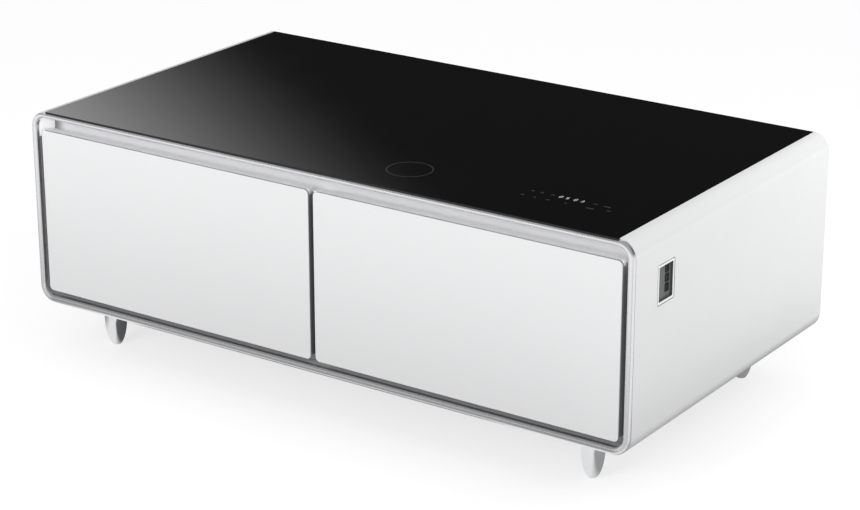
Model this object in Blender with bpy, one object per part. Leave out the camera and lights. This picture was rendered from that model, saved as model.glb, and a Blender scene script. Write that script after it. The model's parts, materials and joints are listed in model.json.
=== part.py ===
"""Refrigerator coffee table: two cooled drawers under a black glass top, on four tapered feet.

X runs along the long side, Y from the front to the back and Z is up, in metres.
The origin is on the floor, under the middle of the table.
"""

import math

import bmesh
import bpy
from mathutils import Matrix, Vector

# Overall sizes
overall_width = 1.300
overall_depth = 0.704
overall_height = 0.470
foot_height = 0.0915
corner_radius = 0.032

# Clearance between touching pieces, and how far a cutter runs past what it cuts
fit_gap = 0.0003
overrun = 0.004

# Smoothness of round forms
corner_steps = 6
turned_steps = 24
small_turned_steps = 12
crease_angle = math.radians(38)

# Outer shell and glass top
shell_wall = 0.003
rear_flange_width = 0.014
rear_flange_thickness = 0.0015
rear_cover_thickness = 0.0012
rear_recess = 0.0014
glass_thickness = 0.006
glass_edge_bevel = 0.0012

# Bright trim round the front edge
trim_face = 0.0112
trim_depth = 0.0097
trim_crown_radius = 0.0045
trim_inner_radius = 0.002
trim_glass_ledge = 0.006
trim_groove_width = 0.0012
trim_groove_depth = 0.002

# Drawer fronts
door_setback = 0.004
door_side_gap = 0.0102
door_bottom_gap = 0.0121
door_top_drop = 0.036
door_middle_gap = 0.010
door_corner_radius = 0.009
door_glass_thickness = 0.004
door_glass_bevel = 0.0009
door_depth = 0.023
door_plug_depth = 0.010
door_plug_margin = 0.017
door_plug_taper = 0.004
gasket_thickness = 0.009
gasket_width = 0.0115
gasket_margin = 0.003
gasket_waist = 0.0035
gasket_bead = 0.0026

# Handle rail along the top of each drawer front
rail_wall = 0.0018
rail_front_leg = 0.018
rail_back_lip = 0.007
rail_edge_radius = 0.003
end_cap_length = 0.020
end_cap_edge = 0.003
end_cap_height = 0.0095
bottom_cap_length = 0.011
bottom_cap_height = 0.008

# Finger channel above the drawers
channel_back_depth = 0.052
channel_lead_in = 0.004
channel_crown_height = 0.022
channel_floor_radius = 0.008
channel_cap_thickness = 0.002
finger_well = 0.014

# Front frame, liners and insulation
frame_face_thickness = 0.003
frame_reveal_wall = 0.0025
mullion_half_width = 0.030
cavity_floor_height = 0.0405
cavity_ceiling_drop = 0.070
cavity_corner_radius = 0.014
liner_wall = 0.002
evaporator_space = 0.008
back_insulation = 0.040
service_bay_height = 0.015
bulkhead_thickness = 0.0012

# Drawer bins, each on a steel carriage
bin_wall = 0.003
bin_floor_clearance = 0.008
bin_headroom = 0.015
bin_back_clearance = 0.023
bin_corner_radius = 0.022
bin_floor_fillet = 0.010
bin_rim_width = 0.005
bin_rim_thickness = 0.003

# Telescopic runners, three members on each side of each drawer
runner_space = 0.0145
runner_height = 0.045
runner_sheet = 0.0013
runner_play = 0.0003
runner_centre_height = 0.068
runner_end_clearance = 0.010
runner_fixed_lip = 0.0022
runner_middle_lip = 0.0062
runner_nose_turn = 0.0042
carriage_ledge = 0.014

# Feet
foot_radius = 0.0275
foot_tip_radius = 0.0085
foot_round_height = 0.060
foot_side_inset = 0.112
foot_front_inset = 0.0885
foot_rear_inset = 0.085
foot_profile_steps = 7
stud_radius = 0.005
stud_length = 0.012
foot_rail_width = 0.070
foot_rail_thickness = 0.003
foot_rail_end = 0.035
nut_radius = 0.0095
nut_height = 0.006

# Socket panel in the right side
socket_front_inset = 0.083
socket_top_drop = 0.0637
bezel_depth = 0.056
bezel_height = 0.0715
bezel_border = 0.005
bezel_corner_radius = 0.003
socket_recess = 0.0075
socket_body_thickness = 0.024
socket_body_margin = 0.005
port_count = 3
port_pitch = 0.0168
port_height = 0.0131
port_width = 0.0056
port_depth = 0.012
port_offset = 0.007
port_tongue_width = 0.0018
port_tongue_height = 0.0095
port_tongue_offset = 0.0008
port_rise = 0.004

# Touch display and wireless charger under the glass
display_side_inset = 0.194
display_front_inset = 0.120
display_length = 0.176
display_width = 0.052
charger_centre_x = 0.131
charger_front_inset = 0.115
charger_radius = 0.037
module_flange = 0.012
module_flange_thickness = 0.005

# Machine compartment
machine_bay_depth = 0.1878
base_pan_thickness = 0.0012
base_pan_lip = 0.010
base_pan_end_clearance = 0.060
base_pan_clearance = 0.006
compressor_x = -0.345
compressor_radius = 0.062
compressor_height = 0.150
compressor_bottom_radius = 0.012
compressor_seam_width = 0.003
compressor_seam_height = 0.006
compressor_seam_share = 0.55
compressor_dome_share = 0.55
compressor_base_size = 0.150
compressor_base_thickness = 0.003
stub_offset = 0.024
stub_radius = 0.0055
stub_height = 0.010

# Rubber mount under the compressor
mount_sheet_thickness = 0.002
mount_bush_radius = 0.011
mount_bush_height = 0.008
mount_nub_radius = 0.005
mount_nub_height = 0.006
mount_inset = 0.015

# Cover over the compressor's terminals
terminal_cover_depth = 0.022
terminal_cover_half_angle = 26
terminal_cover_height = 0.055
terminal_cover_rise_share = 0.15
terminal_cover_round = 0.0015

# Fan between the compressor and the condenser
fan_x = -0.205
fan_size = 0.120
fan_thickness = 0.025
fan_corner_radius = 0.0075
fan_bore_radius = 0.0565
fan_bore_steps = 36
fan_plate_thickness = 0.003
fan_plate_radius = 0.022
fan_strut_width = 0.006
fan_pin_radius = 0.002
fan_hub_radius = 0.020
fan_hub_length = 0.016
fan_hub_crown = 0.003
fan_blade_count = 7
fan_tip_radius = 0.0535
fan_blade_thickness = 0.0014
blade_rows = 5
blade_columns = 4
blade_root_share = 0.92
blade_root_pitch = 50
blade_tip_pitch = 27
blade_root_chord_share = 1.15
blade_tip_chord_share = 1.8
blade_camber_share = 0.10
blade_sweep = 20

# Condenser
condenser_left_x = -0.160
condenser_right_x = 0.140
condenser_rear_clearance = 0.045
condenser_tube_radius = 0.0024
condenser_run_count = 9
condenser_run_pitch = 0.026
condenser_first_height = 0.026
condenser_post_width = 0.012
condenser_post_foot = 0.018
condenser_post_sheet = 0.0015
condenser_post_share = 0.2

# Drier and pipes
drier_x = 0.185
drier_radius = 0.009
drier_length = 0.090
drier_neck_radius = 0.0035
drier_neck_length = 0.008
drier_rise = 0.018
pipe_bend_radius = 0.014
pipe_bend_steps = 5
suction_radius = 0.004
suction_rise = 0.040
capillary_radius = 0.0012
capillary_rise = 0.020
capillary_bend_radius = 0.005
capillary_coil_radius = 0.018
capillary_coil_pitch = 0.005
capillary_coil_turns = 3
capillary_coil_steps = 14

# Evaporator coils behind the liners
evaporator_tube_radius = 0.003
evaporator_run_count = 6
evaporator_run_pitch = 0.036
evaporator_side_margin = 0.050
evaporator_lead = 0.012

# Control box and its board
control_box_x = 0.320
control_box_length = 0.150
control_box_width = 0.095
control_box_height = 0.045
control_box_wall = 0.002
control_board_thickness = 0.0016
control_board_margin = 0.006
control_board_foot = 0.005
control_unit_size = 0.018

# Mains inlet
inlet_x = 0.470
inlet_height_above_base = 0.060
inlet_width = 0.0275
inlet_height = 0.020
inlet_wall = 0.0018
inlet_corner_cut = 0.005
inlet_depth = 0.022
inlet_flange_width = 0.050
inlet_flange_height = 0.026
inlet_flange_thickness = 0.002
inlet_pin_width = 0.002
inlet_pin_height = 0.004
inlet_pin_pitch = 0.007
inlet_pin_length = 0.014
inlet_pin_drop = 0.002

# Vents in the rear cover
vent_length = 0.110
vent_width = 0.005
vent_pitch = 0.014
vent_count = 16
left_vents_x = -0.345
right_vents_x = 0.0
vent_height_above_base = 0.100

# Places that follow from the sizes above
half_width = overall_width / 2
front_y = -overall_depth / 2
back_y = overall_depth / 2
body_bottom = foot_height
body_top = overall_height
body_height = body_top - body_bottom
glass_half_width = half_width - corner_radius
tray_top = body_top - glass_thickness - fit_gap
tray_under = tray_top - shell_wall
shell_front_y = front_y + trim_depth + fit_gap
cover_seat_y = back_y - rear_recess - rear_cover_thickness
flange_front_y = cover_seat_y - fit_gap - rear_flange_thickness
inner_half_width = half_width - shell_wall
inner_bottom = body_bottom + shell_wall

door_top = body_top - door_top_drop
door_bottom = body_bottom + trim_face + door_bottom_gap
door_height = door_top - door_bottom
door_outer_x = half_width - trim_face - door_side_gap
door_width = door_outer_x - door_middle_gap / 2
door_centre_x = (door_outer_x + door_middle_gap / 2) / 2
door_back_depth = door_setback + door_depth
frame_face_depth = door_back_depth + gasket_thickness
frame_back_depth = frame_face_depth + frame_face_thickness

cavity_half_width = door_centre_x - mullion_half_width
cavity_bottom = body_bottom + cavity_floor_height
cavity_top = body_top - cavity_ceiling_drop
cavity_height = cavity_top - cavity_bottom
liner_front_depth = frame_back_depth + fit_gap
bulkhead_back_depth = flange_front_y - machine_bay_depth - front_y
foam_back_depth = bulkhead_back_depth - bulkhead_thickness - fit_gap
liner_back_depth = foam_back_depth - back_insulation - evaporator_space
cavity_back_depth = liner_back_depth - liner_wall
cavity_depth = cavity_back_depth - liner_front_depth
foam_top = tray_under - service_bay_height

channel_top = body_top - trim_face
channel_floor = door_top - finger_well
channel_wall = tray_under - fit_gap - channel_top
channel_half_length = half_width - trim_face - fit_gap
frame_top = channel_floor - channel_wall - fit_gap

bin_half_width = cavity_half_width - runner_space
bin_bottom = cavity_bottom + bin_floor_clearance
bin_top = cavity_top - bin_headroom
carriage_front_depth = door_back_depth + door_plug_depth + fit_gap
bin_front_depth = carriage_front_depth + runner_sheet + 2 * fit_gap
bin_back_depth = cavity_back_depth - bin_back_clearance
runner_z = cavity_bottom + runner_centre_height
runner_front_depth = liner_front_depth + runner_end_clearance
runner_length = cavity_depth - 2 * runner_end_clearance

pan_top = inner_bottom + fit_gap + base_pan_thickness
bay_front_y = front_y + bulkhead_back_depth
bay_middle_y = (bay_front_y + flange_front_y) / 2
base_pan_half_length = half_width - base_pan_end_clearance
display_centre_x = half_width - display_side_inset


def behind_front(depth):
    """The Y place at this depth behind the foremost face of the table."""
    return front_y + depth


def clear_scene():
    for item in list(bpy.data.objects):
        bpy.data.objects.remove(item, do_unlink=True)


def finish(name, colour, roughness, metallic=0):
    """A plain surface: its colour, how rough it is and whether it is metal."""
    material = bpy.data.materials.new(name)
    material.use_nodes = True
    shader = material.node_tree.nodes["Principled BSDF"]
    shader.inputs["Base Color"].default_value = (*colour, 1)
    shader.inputs["Roughness"].default_value = roughness
    shader.inputs["Metallic"].default_value = metallic
    material.diffuse_color = (*colour, 1)
    return material


def white_enamel(name):
    return finish(name, (0.86, 0.87, 0.88), 0.25)


def satin_aluminium(name):
    return finish(name, (0.72, 0.73, 0.75), 0.3, 1)


def black_glass(name):
    return finish(name, (0.012, 0.012, 0.014), 0.05)


def white_glass(name):
    return finish(name, (0.90, 0.91, 0.93), 0.08)


def white_plastic(name):
    return finish(name, (0.85, 0.86, 0.86), 0.4)


def dark_plastic(name):
    return finish(name, (0.05, 0.05, 0.055), 0.5)


def grey_plastic(name):
    return finish(name, (0.32, 0.33, 0.34), 0.5)


def black_rubber(name):
    return finish(name, (0.03, 0.03, 0.03), 0.8)


def pale_rubber(name):
    return finish(name, (0.55, 0.56, 0.57), 0.75)


def zinc_steel(name):
    return finish(name, (0.62, 0.63, 0.65), 0.38, 1)


def black_steel(name):
    return finish(name, (0.03, 0.03, 0.032), 0.42)


def polished_chrome(name):
    return finish(name, (0.80, 0.81, 0.82), 0.1, 1)


def copper(name):
    return finish(name, (0.78, 0.40, 0.24), 0.3, 1)


def foam(name):
    return finish(name, (0.88, 0.80, 0.55), 0.9)


def green_board(name):
    return finish(name, (0.03, 0.22, 0.10), 0.45)


def add_piece(name, bm, surface, place=(0, 0, 0), parent=None):
    """Turns a bmesh into a named object with its faces outward and its round sides smooth."""
    bmesh.ops.recalc_face_normals(bm, faces=bm.faces)
    mesh = bpy.data.meshes.new(name)
    bm.to_mesh(mesh)
    bm.free()
    return add_object(name, mesh, surface, place, parent)


def add_object(name, mesh, surface, place=(0, 0, 0), parent=None):
    piece = bpy.data.objects.new(name, mesh)
    bpy.context.scene.collection.objects.link(piece)
    if surface is not None and not mesh.materials:
        mesh.materials.append(surface)
    mesh.shade_smooth()
    mesh.set_sharp_from_angle(angle=crease_angle)
    piece.location = place
    piece.parent = parent
    return piece


def add_empty(name, place, parent=None):
    empty = bpy.data.objects.new(name, None)
    bpy.context.scene.collection.objects.link(empty)
    empty.location = place
    empty.parent = parent
    return empty


def combine(piece, other, operation):
    """Joins or cuts with another object, which becomes a hidden guide."""
    other.hide_render = True
    other.display_type = "WIRE"
    change = piece.modifiers.new(other.name, "BOOLEAN")
    change.operation = operation
    change.solver = "EXACT"
    change.object = other
    return piece


def cut(piece, cutter):
    return combine(piece, cutter, "DIFFERENCE")


def unite(piece, other):
    return combine(piece, other, "UNION")


def arc(centre_a, centre_b, radius_a, radius_b, start, end, steps):
    """Points along part of an ellipse, from one angle to another in degrees."""
    points = []
    for step in range(steps + 1):
        angle = math.radians(start + (end - start) * step / steps)
        points.append((centre_a + radius_a * math.cos(angle), centre_b + radius_b * math.sin(angle)))
    return points


def rounded_rectangle(width, height, radius, steps=corner_steps):
    """The outline of a rectangle with round corners, about its own middle."""
    across = width / 2 - radius
    up = height / 2 - radius
    points = arc(across, -up, radius, radius, -90, 0, steps)
    points += arc(across, up, radius, radius, 0, 90, steps)
    points += arc(-across, up, radius, radius, 90, 180, steps)
    points += arc(-across, -up, radius, radius, 180, 270, steps)
    return points


def rectangle(width, height):
    return [
        (width / 2, -height / 2),
        (width / 2, height / 2),
        (-width / 2, height / 2),
        (-width / 2, -height / 2),
    ]


def shifted(outline, across, up):
    return [(a + across, b + up) for a, b in outline]


def on_axis(axis, a, b, along):
    if axis == "X":
        return Vector((along, a, b))
    if axis == "Y":
        return Vector((a, along, b))
    return Vector((a, b, along))


def bridge(bm, loops, ring=False):
    """Walls between loops of equal length, closed by end faces or back onto the first loop."""
    rings = [[bm.verts.new(point) for point in loop] for loop in loops]
    pairs = list(zip(rings, rings[1:]))
    if ring:
        pairs.append((rings[-1], rings[0]))
    else:
        bm.faces.new(rings[0])
        bm.faces.new(rings[-1])
    for near, far in pairs:
        for index in range(len(near)):
            following = (index + 1) % len(near)
            bm.faces.new((near[index], near[following], far[following], far[index]))


def extrude_outline(bm, outline, axis, start, end):
    loops = []
    for along in (start, end):
        loops.append([on_axis(axis, a, b, along) for a, b in outline])
    bridge(bm, loops)


def prism(name, outline, axis, start, end, surface, place=(0, 0, 0), parent=None):
    """An outline drawn out along an axis."""
    bm = bmesh.new()
    extrude_outline(bm, outline, axis, start, end)
    return add_piece(name, bm, surface, place, parent)


def add_box(bm, low, high):
    size = Vector(high) - Vector(low)
    middle = (Vector(high) + Vector(low)) / 2
    bmesh.ops.create_cube(bm, size=1, matrix=Matrix.Translation(middle) @ Matrix.Diagonal((*size, 1)))


def box(name, low, high, surface, place=(0, 0, 0), parent=None):
    bm = bmesh.new()
    add_box(bm, low, high)
    return add_piece(name, bm, surface, place, parent)


def soften(piece, width, segments=2):
    """Rounds every sharp edge."""
    bevel = piece.modifiers.new("soft edges", "BEVEL")
    bevel.width = width
    bevel.segments = segments
    bevel.limit_method = "ANGLE"
    bevel.angle_limit = crease_angle
    return piece


def turn_profile(bm, profile, steps, axis="Z", place=(0, 0, 0)):
    """Spins a profile of (radius, distance along the axis) pairs, whose ends may lie on the axis."""
    loops = []
    for step in range(steps):
        angle = math.tau * step / steps
        loops.append((math.cos(angle), math.sin(angle)))
    rows = []
    for radius, along in profile:
        if radius == 0:
            rows.append([bm.verts.new(on_axis(axis, 0, 0, along) + Vector(place))])
        else:
            ring = [on_axis(axis, radius * c, radius * s, along) + Vector(place) for c, s in loops]
            rows.append([bm.verts.new(point) for point in ring])
    closed = profile[0][0] != 0
    pairs = list(zip(rows, rows[1:]))
    if closed:
        pairs.append((rows[-1], rows[0]))
    for near, far in pairs:
        for index in range(steps):
            following = (index + 1) % steps
            corners = [near[index % len(near)], near[following % len(near)]]
            corners += [far[following % len(far)], far[index % len(far)]]
            bm.faces.new(list(dict.fromkeys(corners)))


def turned(name, profile, steps, surface, axis="Z", place=(0, 0, 0), parent=None):
    bm = bmesh.new()
    turn_profile(bm, profile, steps, axis)
    return add_piece(name, bm, surface, place, parent)


def rod_profile(radius, start, end):
    return [(0, start), (radius, start), (radius, end), (0, end)]


def pipe(name, points, radius, surface, resolution=2):
    """A round pipe through the points, with closed ends."""
    curve = bpy.data.curves.new(name, "CURVE")
    curve.dimensions = "3D"
    curve.bevel_depth = radius
    curve.bevel_resolution = resolution
    curve.use_fill_caps = True
    line = curve.splines.new("POLY")
    line.points.add(len(points) - 1)
    for point, place in zip(line.points, points):
        point.co = (*place, 1)
    curve.materials.append(surface)
    piece = bpy.data.objects.new(name, curve)
    bpy.context.scene.collection.objects.link(piece)
    return piece


def bent_route(corners, radius, steps=pipe_bend_steps):
    """A route through the corner points, each corner rounded by an arc of this radius."""
    route = [Vector(corners[0])]
    for before, corner, after in zip(corners, corners[1:], corners[2:]):
        corner = Vector(corner)
        into = (Vector(before) - corner).normalized()
        out = (Vector(after) - corner).normalized()
        half_angle = into.angle(out) / 2
        reach = radius / math.tan(half_angle)
        centre = corner + (into + out).normalized() * (radius / math.sin(half_angle))
        first = (corner + into * reach - centre).normalized()
        last = (corner + out * reach - centre).normalized()
        for step in range(steps + 1):
            route.append(centre + radius * first.slerp(last, step / steps))
    route.append(Vector(corners[-1]))
    return route


def serpentine(start_x, far_x, bottom, pitch, runs, y):
    """Level runs that climb, joined by half-round bends; the first run goes from start_x to far_x."""
    points = []
    outward = 1 if far_x > start_x else -1
    for run in range(runs):
        height = bottom + run * pitch
        near, end = (start_x, far_x) if run % 2 == 0 else (far_x, start_x)
        points.append(Vector((near, y, height)))
        points.append(Vector((end, y, height)))
        if run < runs - 1:
            side = outward if run % 2 == 0 else -outward
            for step in range(1, pipe_bend_steps):
                angle = math.pi * step / pipe_bend_steps
                across = side * pitch / 2 * math.sin(angle)
                points.append(Vector((end + across, y, height + pitch / 2 * (1 - math.cos(angle)))))
    return points


def body_outline(inset):
    """The outline of the body seen from the front, drawn in by this much all round."""
    width = overall_width - 2 * inset
    outline = rounded_rectangle(width, body_height - 2 * inset, corner_radius - inset)
    return shifted(outline, 0, body_bottom + body_height / 2)


def inner_outline(inset, top=tray_under):
    """The outline of the room inside the shell, drawn in by this much and flat at the top."""
    radius = corner_radius - shell_wall - inset
    centre_x = half_width - corner_radius
    low_z = body_bottom + corner_radius
    high_z = body_top - corner_radius
    ceiling = top - inset
    rise = max(0, min(1, (ceiling - high_z) / radius))
    tilt = math.degrees(math.asin(rise))
    points = arc(centre_x, low_z, radius, radius, -90, 0, corner_steps)
    if tilt > 0:
        points += arc(centre_x, high_z, radius, radius, 0, tilt, corner_steps)
        points += arc(-centre_x, high_z, radius, radius, 180 - tilt, 180, corner_steps)
    else:
        points.append((centre_x + radius, ceiling))
        points.append((-centre_x - radius, ceiling))
    points += arc(-centre_x, low_z, radius, radius, 180, 270, corner_steps)
    return points


def foot_places():
    """The middle of each foot seen from above, with the word that names it."""
    across = half_width - foot_side_inset
    near = front_y + foot_front_inset
    far = back_y - foot_rear_inset
    return [
        ("front_left", -across, near),
        ("front_right", across, near),
        ("rear_left", -across, far),
        ("rear_right", across, far),
    ]


def display_y():
    return behind_front(display_front_inset)


def charger_y():
    return behind_front(charger_front_inset)


def bezel_middle():
    """The middle of the socket panel, as (Y, Z)."""
    y = behind_front(socket_front_inset + bezel_depth / 2)
    z = body_top - socket_top_drop - bezel_height / 2
    return y, z


def inlet_z():
    return inner_bottom + inlet_height_above_base


def rods_along(name, axis, radius, start, end, places, steps=small_turned_steps):
    """One guide object with a rod at each place, for holes."""
    bm = bmesh.new()
    for place in places:
        turn_profile(bm, rod_profile(radius, start, end), steps, axis, place)
    return add_piece(name, bm, None)


def make_outer_shell():
    shell = prism("outer_shell", body_outline(0), "Y", shell_front_y, back_y, white_enamel("shell_enamel"))
    room = prism(
        "shell_room", inner_outline(0), "Y", shell_front_y - overrun, flange_front_y, None
    )
    cut(shell, room)
    rear_opening = prism(
        "shell_rear_opening",
        inner_outline(rear_flange_width),
        "Y",
        flange_front_y - overrun,
        back_y + overrun,
        None,
    )
    cut(shell, rear_opening)
    cover_recess = prism(
        "shell_cover_recess",
        inner_outline(0),
        "Y",
        flange_front_y + rear_flange_thickness,
        back_y + overrun,
        None,
    )
    cut(shell, cover_recess)
    glass_recess = box(
        "shell_glass_recess",
        (-glass_half_width - fit_gap, shell_front_y - overrun, tray_top),
        (glass_half_width + fit_gap, back_y + overrun, body_top + overrun),
        None,
    )
    cut(shell, glass_recess)
    cut_shell_windows(shell)
    cut_shell_holes(shell)
    return shell


def cut_shell_windows(shell):
    """Windows under the glass for the display and the charger, and the socket panel's aperture."""
    display = box(
        "shell_display_window",
        (-display_length / 2, -display_width / 2, tray_under - overrun),
        (display_length / 2, display_width / 2, tray_top + overrun),
        None,
        (display_centre_x, display_y(), 0),
    )
    cut(shell, display)
    charger = turned(
        "shell_charger_window",
        rod_profile(charger_radius + fit_gap, tray_under - overrun, tray_top + overrun),
        turned_steps,
        None,
        "Z",
        (charger_centre_x, charger_y(), 0),
    )
    cut(shell, charger)
    y, z = bezel_middle()
    aperture = rounded_rectangle(
        bezel_depth + 2 * fit_gap, bezel_height + 2 * fit_gap, bezel_corner_radius, 2
    )
    socket = prism(
        "shell_socket_aperture",
        aperture,
        "X",
        inner_half_width - overrun,
        half_width + overrun,
        None,
        (0, y, z),
    )
    cut(shell, socket)


def cut_shell_holes(shell):
    """Holes for the studs of the feet."""
    feet = [(x, y, body_bottom) for _, x, y in foot_places()]
    studs = rods_along(
        "shell_stud_holes", "Z", stud_radius + fit_gap, -overrun, shell_wall + overrun, feet
    )
    return cut(shell, studs)


def make_glass_top():
    """The black glass, bevelled round its upper edge."""
    front = front_y + trim_glass_ledge + fit_gap
    loops = []
    for inset, z in (
        (0, body_top - glass_thickness),
        (0, body_top - glass_edge_bevel),
        (glass_edge_bevel, body_top),
    ):
        wide = glass_half_width - inset
        near = front + inset
        far = back_y - inset
        loops.append([(wide, near, z), (wide, far, z), (-wide, far, z), (-wide, near, z)])
    bm = bmesh.new()
    bridge(bm, loops)
    return add_piece("glass_top", bm, black_glass("top_glass"))


def trim_profile():
    """The trim's section, as (distance in from the outline, depth) pairs."""
    crown = trim_crown_radius
    inner = trim_inner_radius
    points = [(0, trim_depth - trim_groove_width)]
    points += arc(crown, crown, crown, crown, 180, 270, 4)
    points += arc(trim_face - inner, inner, inner, inner, 270, 360, 3)
    points.append((trim_face, trim_depth))
    points.append((trim_groove_depth, trim_depth))
    points.append((trim_groove_depth, trim_depth - trim_groove_width))
    return points


def make_front_trim():
    """A rounded bead bent round the front edge, notched along the top for the glass."""
    loops = []
    for inset, depth in trim_profile():
        loops.append([(x, behind_front(depth), z) for x, z in body_outline(inset)])
    bm = bmesh.new()
    bridge(bm, loops, ring=True)
    trim = add_piece("front_trim", bm, satin_aluminium("trim_aluminium"))
    ledge = box(
        "trim_glass_ledge_cut",
        (-glass_half_width - fit_gap, front_y + trim_glass_ledge, tray_top),
        (glass_half_width + fit_gap, shell_front_y + overrun, body_top + overrun),
        None,
    )
    return cut(trim, ledge)


def channel_section(offset):
    """One face of the finger channel, as (depth, height) pairs; offset 0 is the hand's side."""
    start = trim_depth + fit_gap
    turn = start + channel_lead_in
    reach = channel_back_depth - turn
    drop = channel_top - channel_crown_height
    points = [(start, channel_top + offset)]
    points += arc(turn, drop, reach + offset, channel_crown_height + offset, 90, 0, 8)
    radius = channel_floor_radius
    points += arc(
        channel_back_depth - radius, channel_floor + radius, radius + offset, radius + offset, 0, -90, 4
    )
    points.append((frame_face_depth, channel_floor - offset))
    return points


def make_finger_channel():
    """The concave extrusion that fingers reach into, above both drawers."""
    section = channel_section(0) + channel_section(channel_wall)[::-1]
    outline = [(behind_front(depth), z) for depth, z in section]
    channel = prism(
        "finger_channel",
        outline,
        "X",
        -channel_half_length,
        channel_half_length,
        satin_aluminium("channel_aluminium"),
    )
    room = prism("channel_room", inner_outline(fit_gap), "Y", front_y, 0, None)
    return combine(channel, room, "INTERSECT")


def make_channel_end_caps():
    section = channel_section(channel_wall)
    section.append((trim_depth + fit_gap, channel_floor - channel_wall))
    outline = [(behind_front(depth), z) for depth, z in section]
    lowered = [(y, min(z, body_top - corner_radius / 2)) for y, z in outline]
    start = channel_half_length + fit_gap
    for word, side in (("left", -1), ("right", 1)):
        prism(
            "channel_end_cap_" + word,
            lowered,
            "X",
            side * start,
            side * (start + channel_cap_thickness),
            white_plastic("channel_cap_" + word),
        )


def window_outline(margin):
    """The outline of one drawer's opening about the drawer's middle, grown by this margin."""
    return rounded_rectangle(
        2 * (cavity_half_width + margin), cavity_height + 2 * margin, cavity_corner_radius + margin
    )


def cavity_middle_z():
    return (cavity_bottom + cavity_top) / 2


def make_front_frame():
    """The face that the drawer seals close on, with a reveal that runs forward to the trim."""
    frame = prism(
        "front_frame",
        inner_outline(fit_gap, frame_top + fit_gap),
        "Y",
        behind_front(frame_face_depth),
        behind_front(frame_back_depth),
        grey_plastic("frame_plastic"),
    )
    for word, side in (("left", -1), ("right", 1)):
        window = prism(
            "frame_window_" + word,
            window_outline(0),
            "Y",
            behind_front(frame_face_depth - overrun),
            behind_front(frame_back_depth + overrun),
            None,
            (side * door_centre_x, 0, cavity_middle_z()),
        )
        cut(frame, window)
    reveal_start = trim_depth + fit_gap
    outer = trim_face - frame_reveal_wall
    path_out = reveal_path(outer)
    path_in = reveal_path(trim_face)
    reveal = prism(
        "frame_reveal",
        path_out + path_in[::-1],
        "Y",
        behind_front(reveal_start),
        behind_front(frame_face_depth + frame_face_thickness / 2),
        None,
    )
    return unite(frame, reveal)


def reveal_path(inset):
    """Down the left side, round the bottom and up the right side of the front opening."""
    radius = corner_radius - inset
    centre_x = half_width - corner_radius
    centre_z = body_bottom + corner_radius
    points = [(-half_width + inset, frame_top)]
    points += arc(-centre_x, centre_z, radius, radius, 180, 270, corner_steps)
    points += arc(centre_x, centre_z, radius, radius, 270, 360, corner_steps)
    points.append((half_width - inset, frame_top))
    return points


def make_liner(word, side):
    """A moulded tub with round corners, open at the front."""
    outer = window_outline(liner_wall)
    inner = window_outline(0)
    front = behind_front(liner_front_depth)
    inside = behind_front(cavity_back_depth)
    back = behind_front(liner_back_depth)
    loops = [
        [on_axis("Y", a, b, back) for a, b in outer],
        [on_axis("Y", a, b, front) for a, b in outer],
        [on_axis("Y", a, b, front) for a, b in inner],
        [on_axis("Y", a, b, inside) for a, b in inner],
    ]
    bm = bmesh.new()
    bridge(bm, loops)
    place = (side * door_centre_x, 0, cavity_middle_z())
    return add_piece(word + "_liner", bm, white_plastic(word + "_liner_plastic"), place)


def make_insulation():
    """The foamed block between the shell and the liners, hollow where the liners and parts sit."""
    front = behind_front(frame_back_depth) + fit_gap
    block = prism(
        "foam_insulation",
        inner_outline(fit_gap, foam_top),
        "Y",
        front,
        behind_front(foam_back_depth),
        foam("insulation_foam"),
    )
    for word, side in (("left", -1), ("right", 1)):
        pocket = prism(
            "foam_liner_pocket_" + word,
            window_outline(liner_wall + fit_gap),
            "Y",
            front - overrun,
            behind_front(liner_back_depth + evaporator_space),
            None,
            (side * door_centre_x, 0, cavity_middle_z()),
        )
        cut(block, pocket)
    notch = box(
        "foam_channel_notch",
        (-half_width, front - overrun, channel_floor - channel_wall - fit_gap),
        (half_width, behind_front(channel_back_depth + channel_wall + fit_gap), body_top),
        None,
    )
    cut(block, notch)
    y, z = bezel_middle()
    across = bezel_depth / 2 + socket_body_margin + fit_gap
    up = bezel_height / 2 + socket_body_margin + fit_gap
    socket = box(
        "foam_socket_pocket",
        (inner_half_width - 2 * fit_gap - socket_body_thickness, y - across, z - up),
        (half_width, y + across, z + up),
        None,
    )
    cut(block, socket)
    cut_foot_rail_pockets(block)
    return block


def cut_foot_rail_pockets(block):
    """A slot under the foam for the front foot rail, with deeper pockets over its two nuts."""
    (_, left, y), (_, right, _) = foot_places()[:2]
    half = foot_rail_width / 2 + fit_gap
    end = foot_rail_end + fit_gap
    rail_top = foot_rail_top() + fit_gap
    slot = box(
        "foam_foot_rail_slot",
        (left - end, y - half, body_bottom),
        (right + end, y + half, rail_top),
        None,
    )
    cut(block, slot)
    bm = bmesh.new()
    reach = nut_radius + fit_gap
    top = rail_top + nut_height
    for x in (left, right):
        add_box(bm, (x - reach, y - reach, rail_top - overrun), (x + reach, y + reach, top))
    return cut(block, add_piece("foam_nut_pockets", bm, None))


def make_bulkhead():
    """The steel sheet between the insulation and the machine compartment."""
    return prism(
        "bulkhead_panel",
        inner_outline(fit_gap),
        "Y",
        behind_front(foam_back_depth) + fit_gap,
        behind_front(bulkhead_back_depth),
        zinc_steel("bulkhead_steel"),
    )


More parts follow.
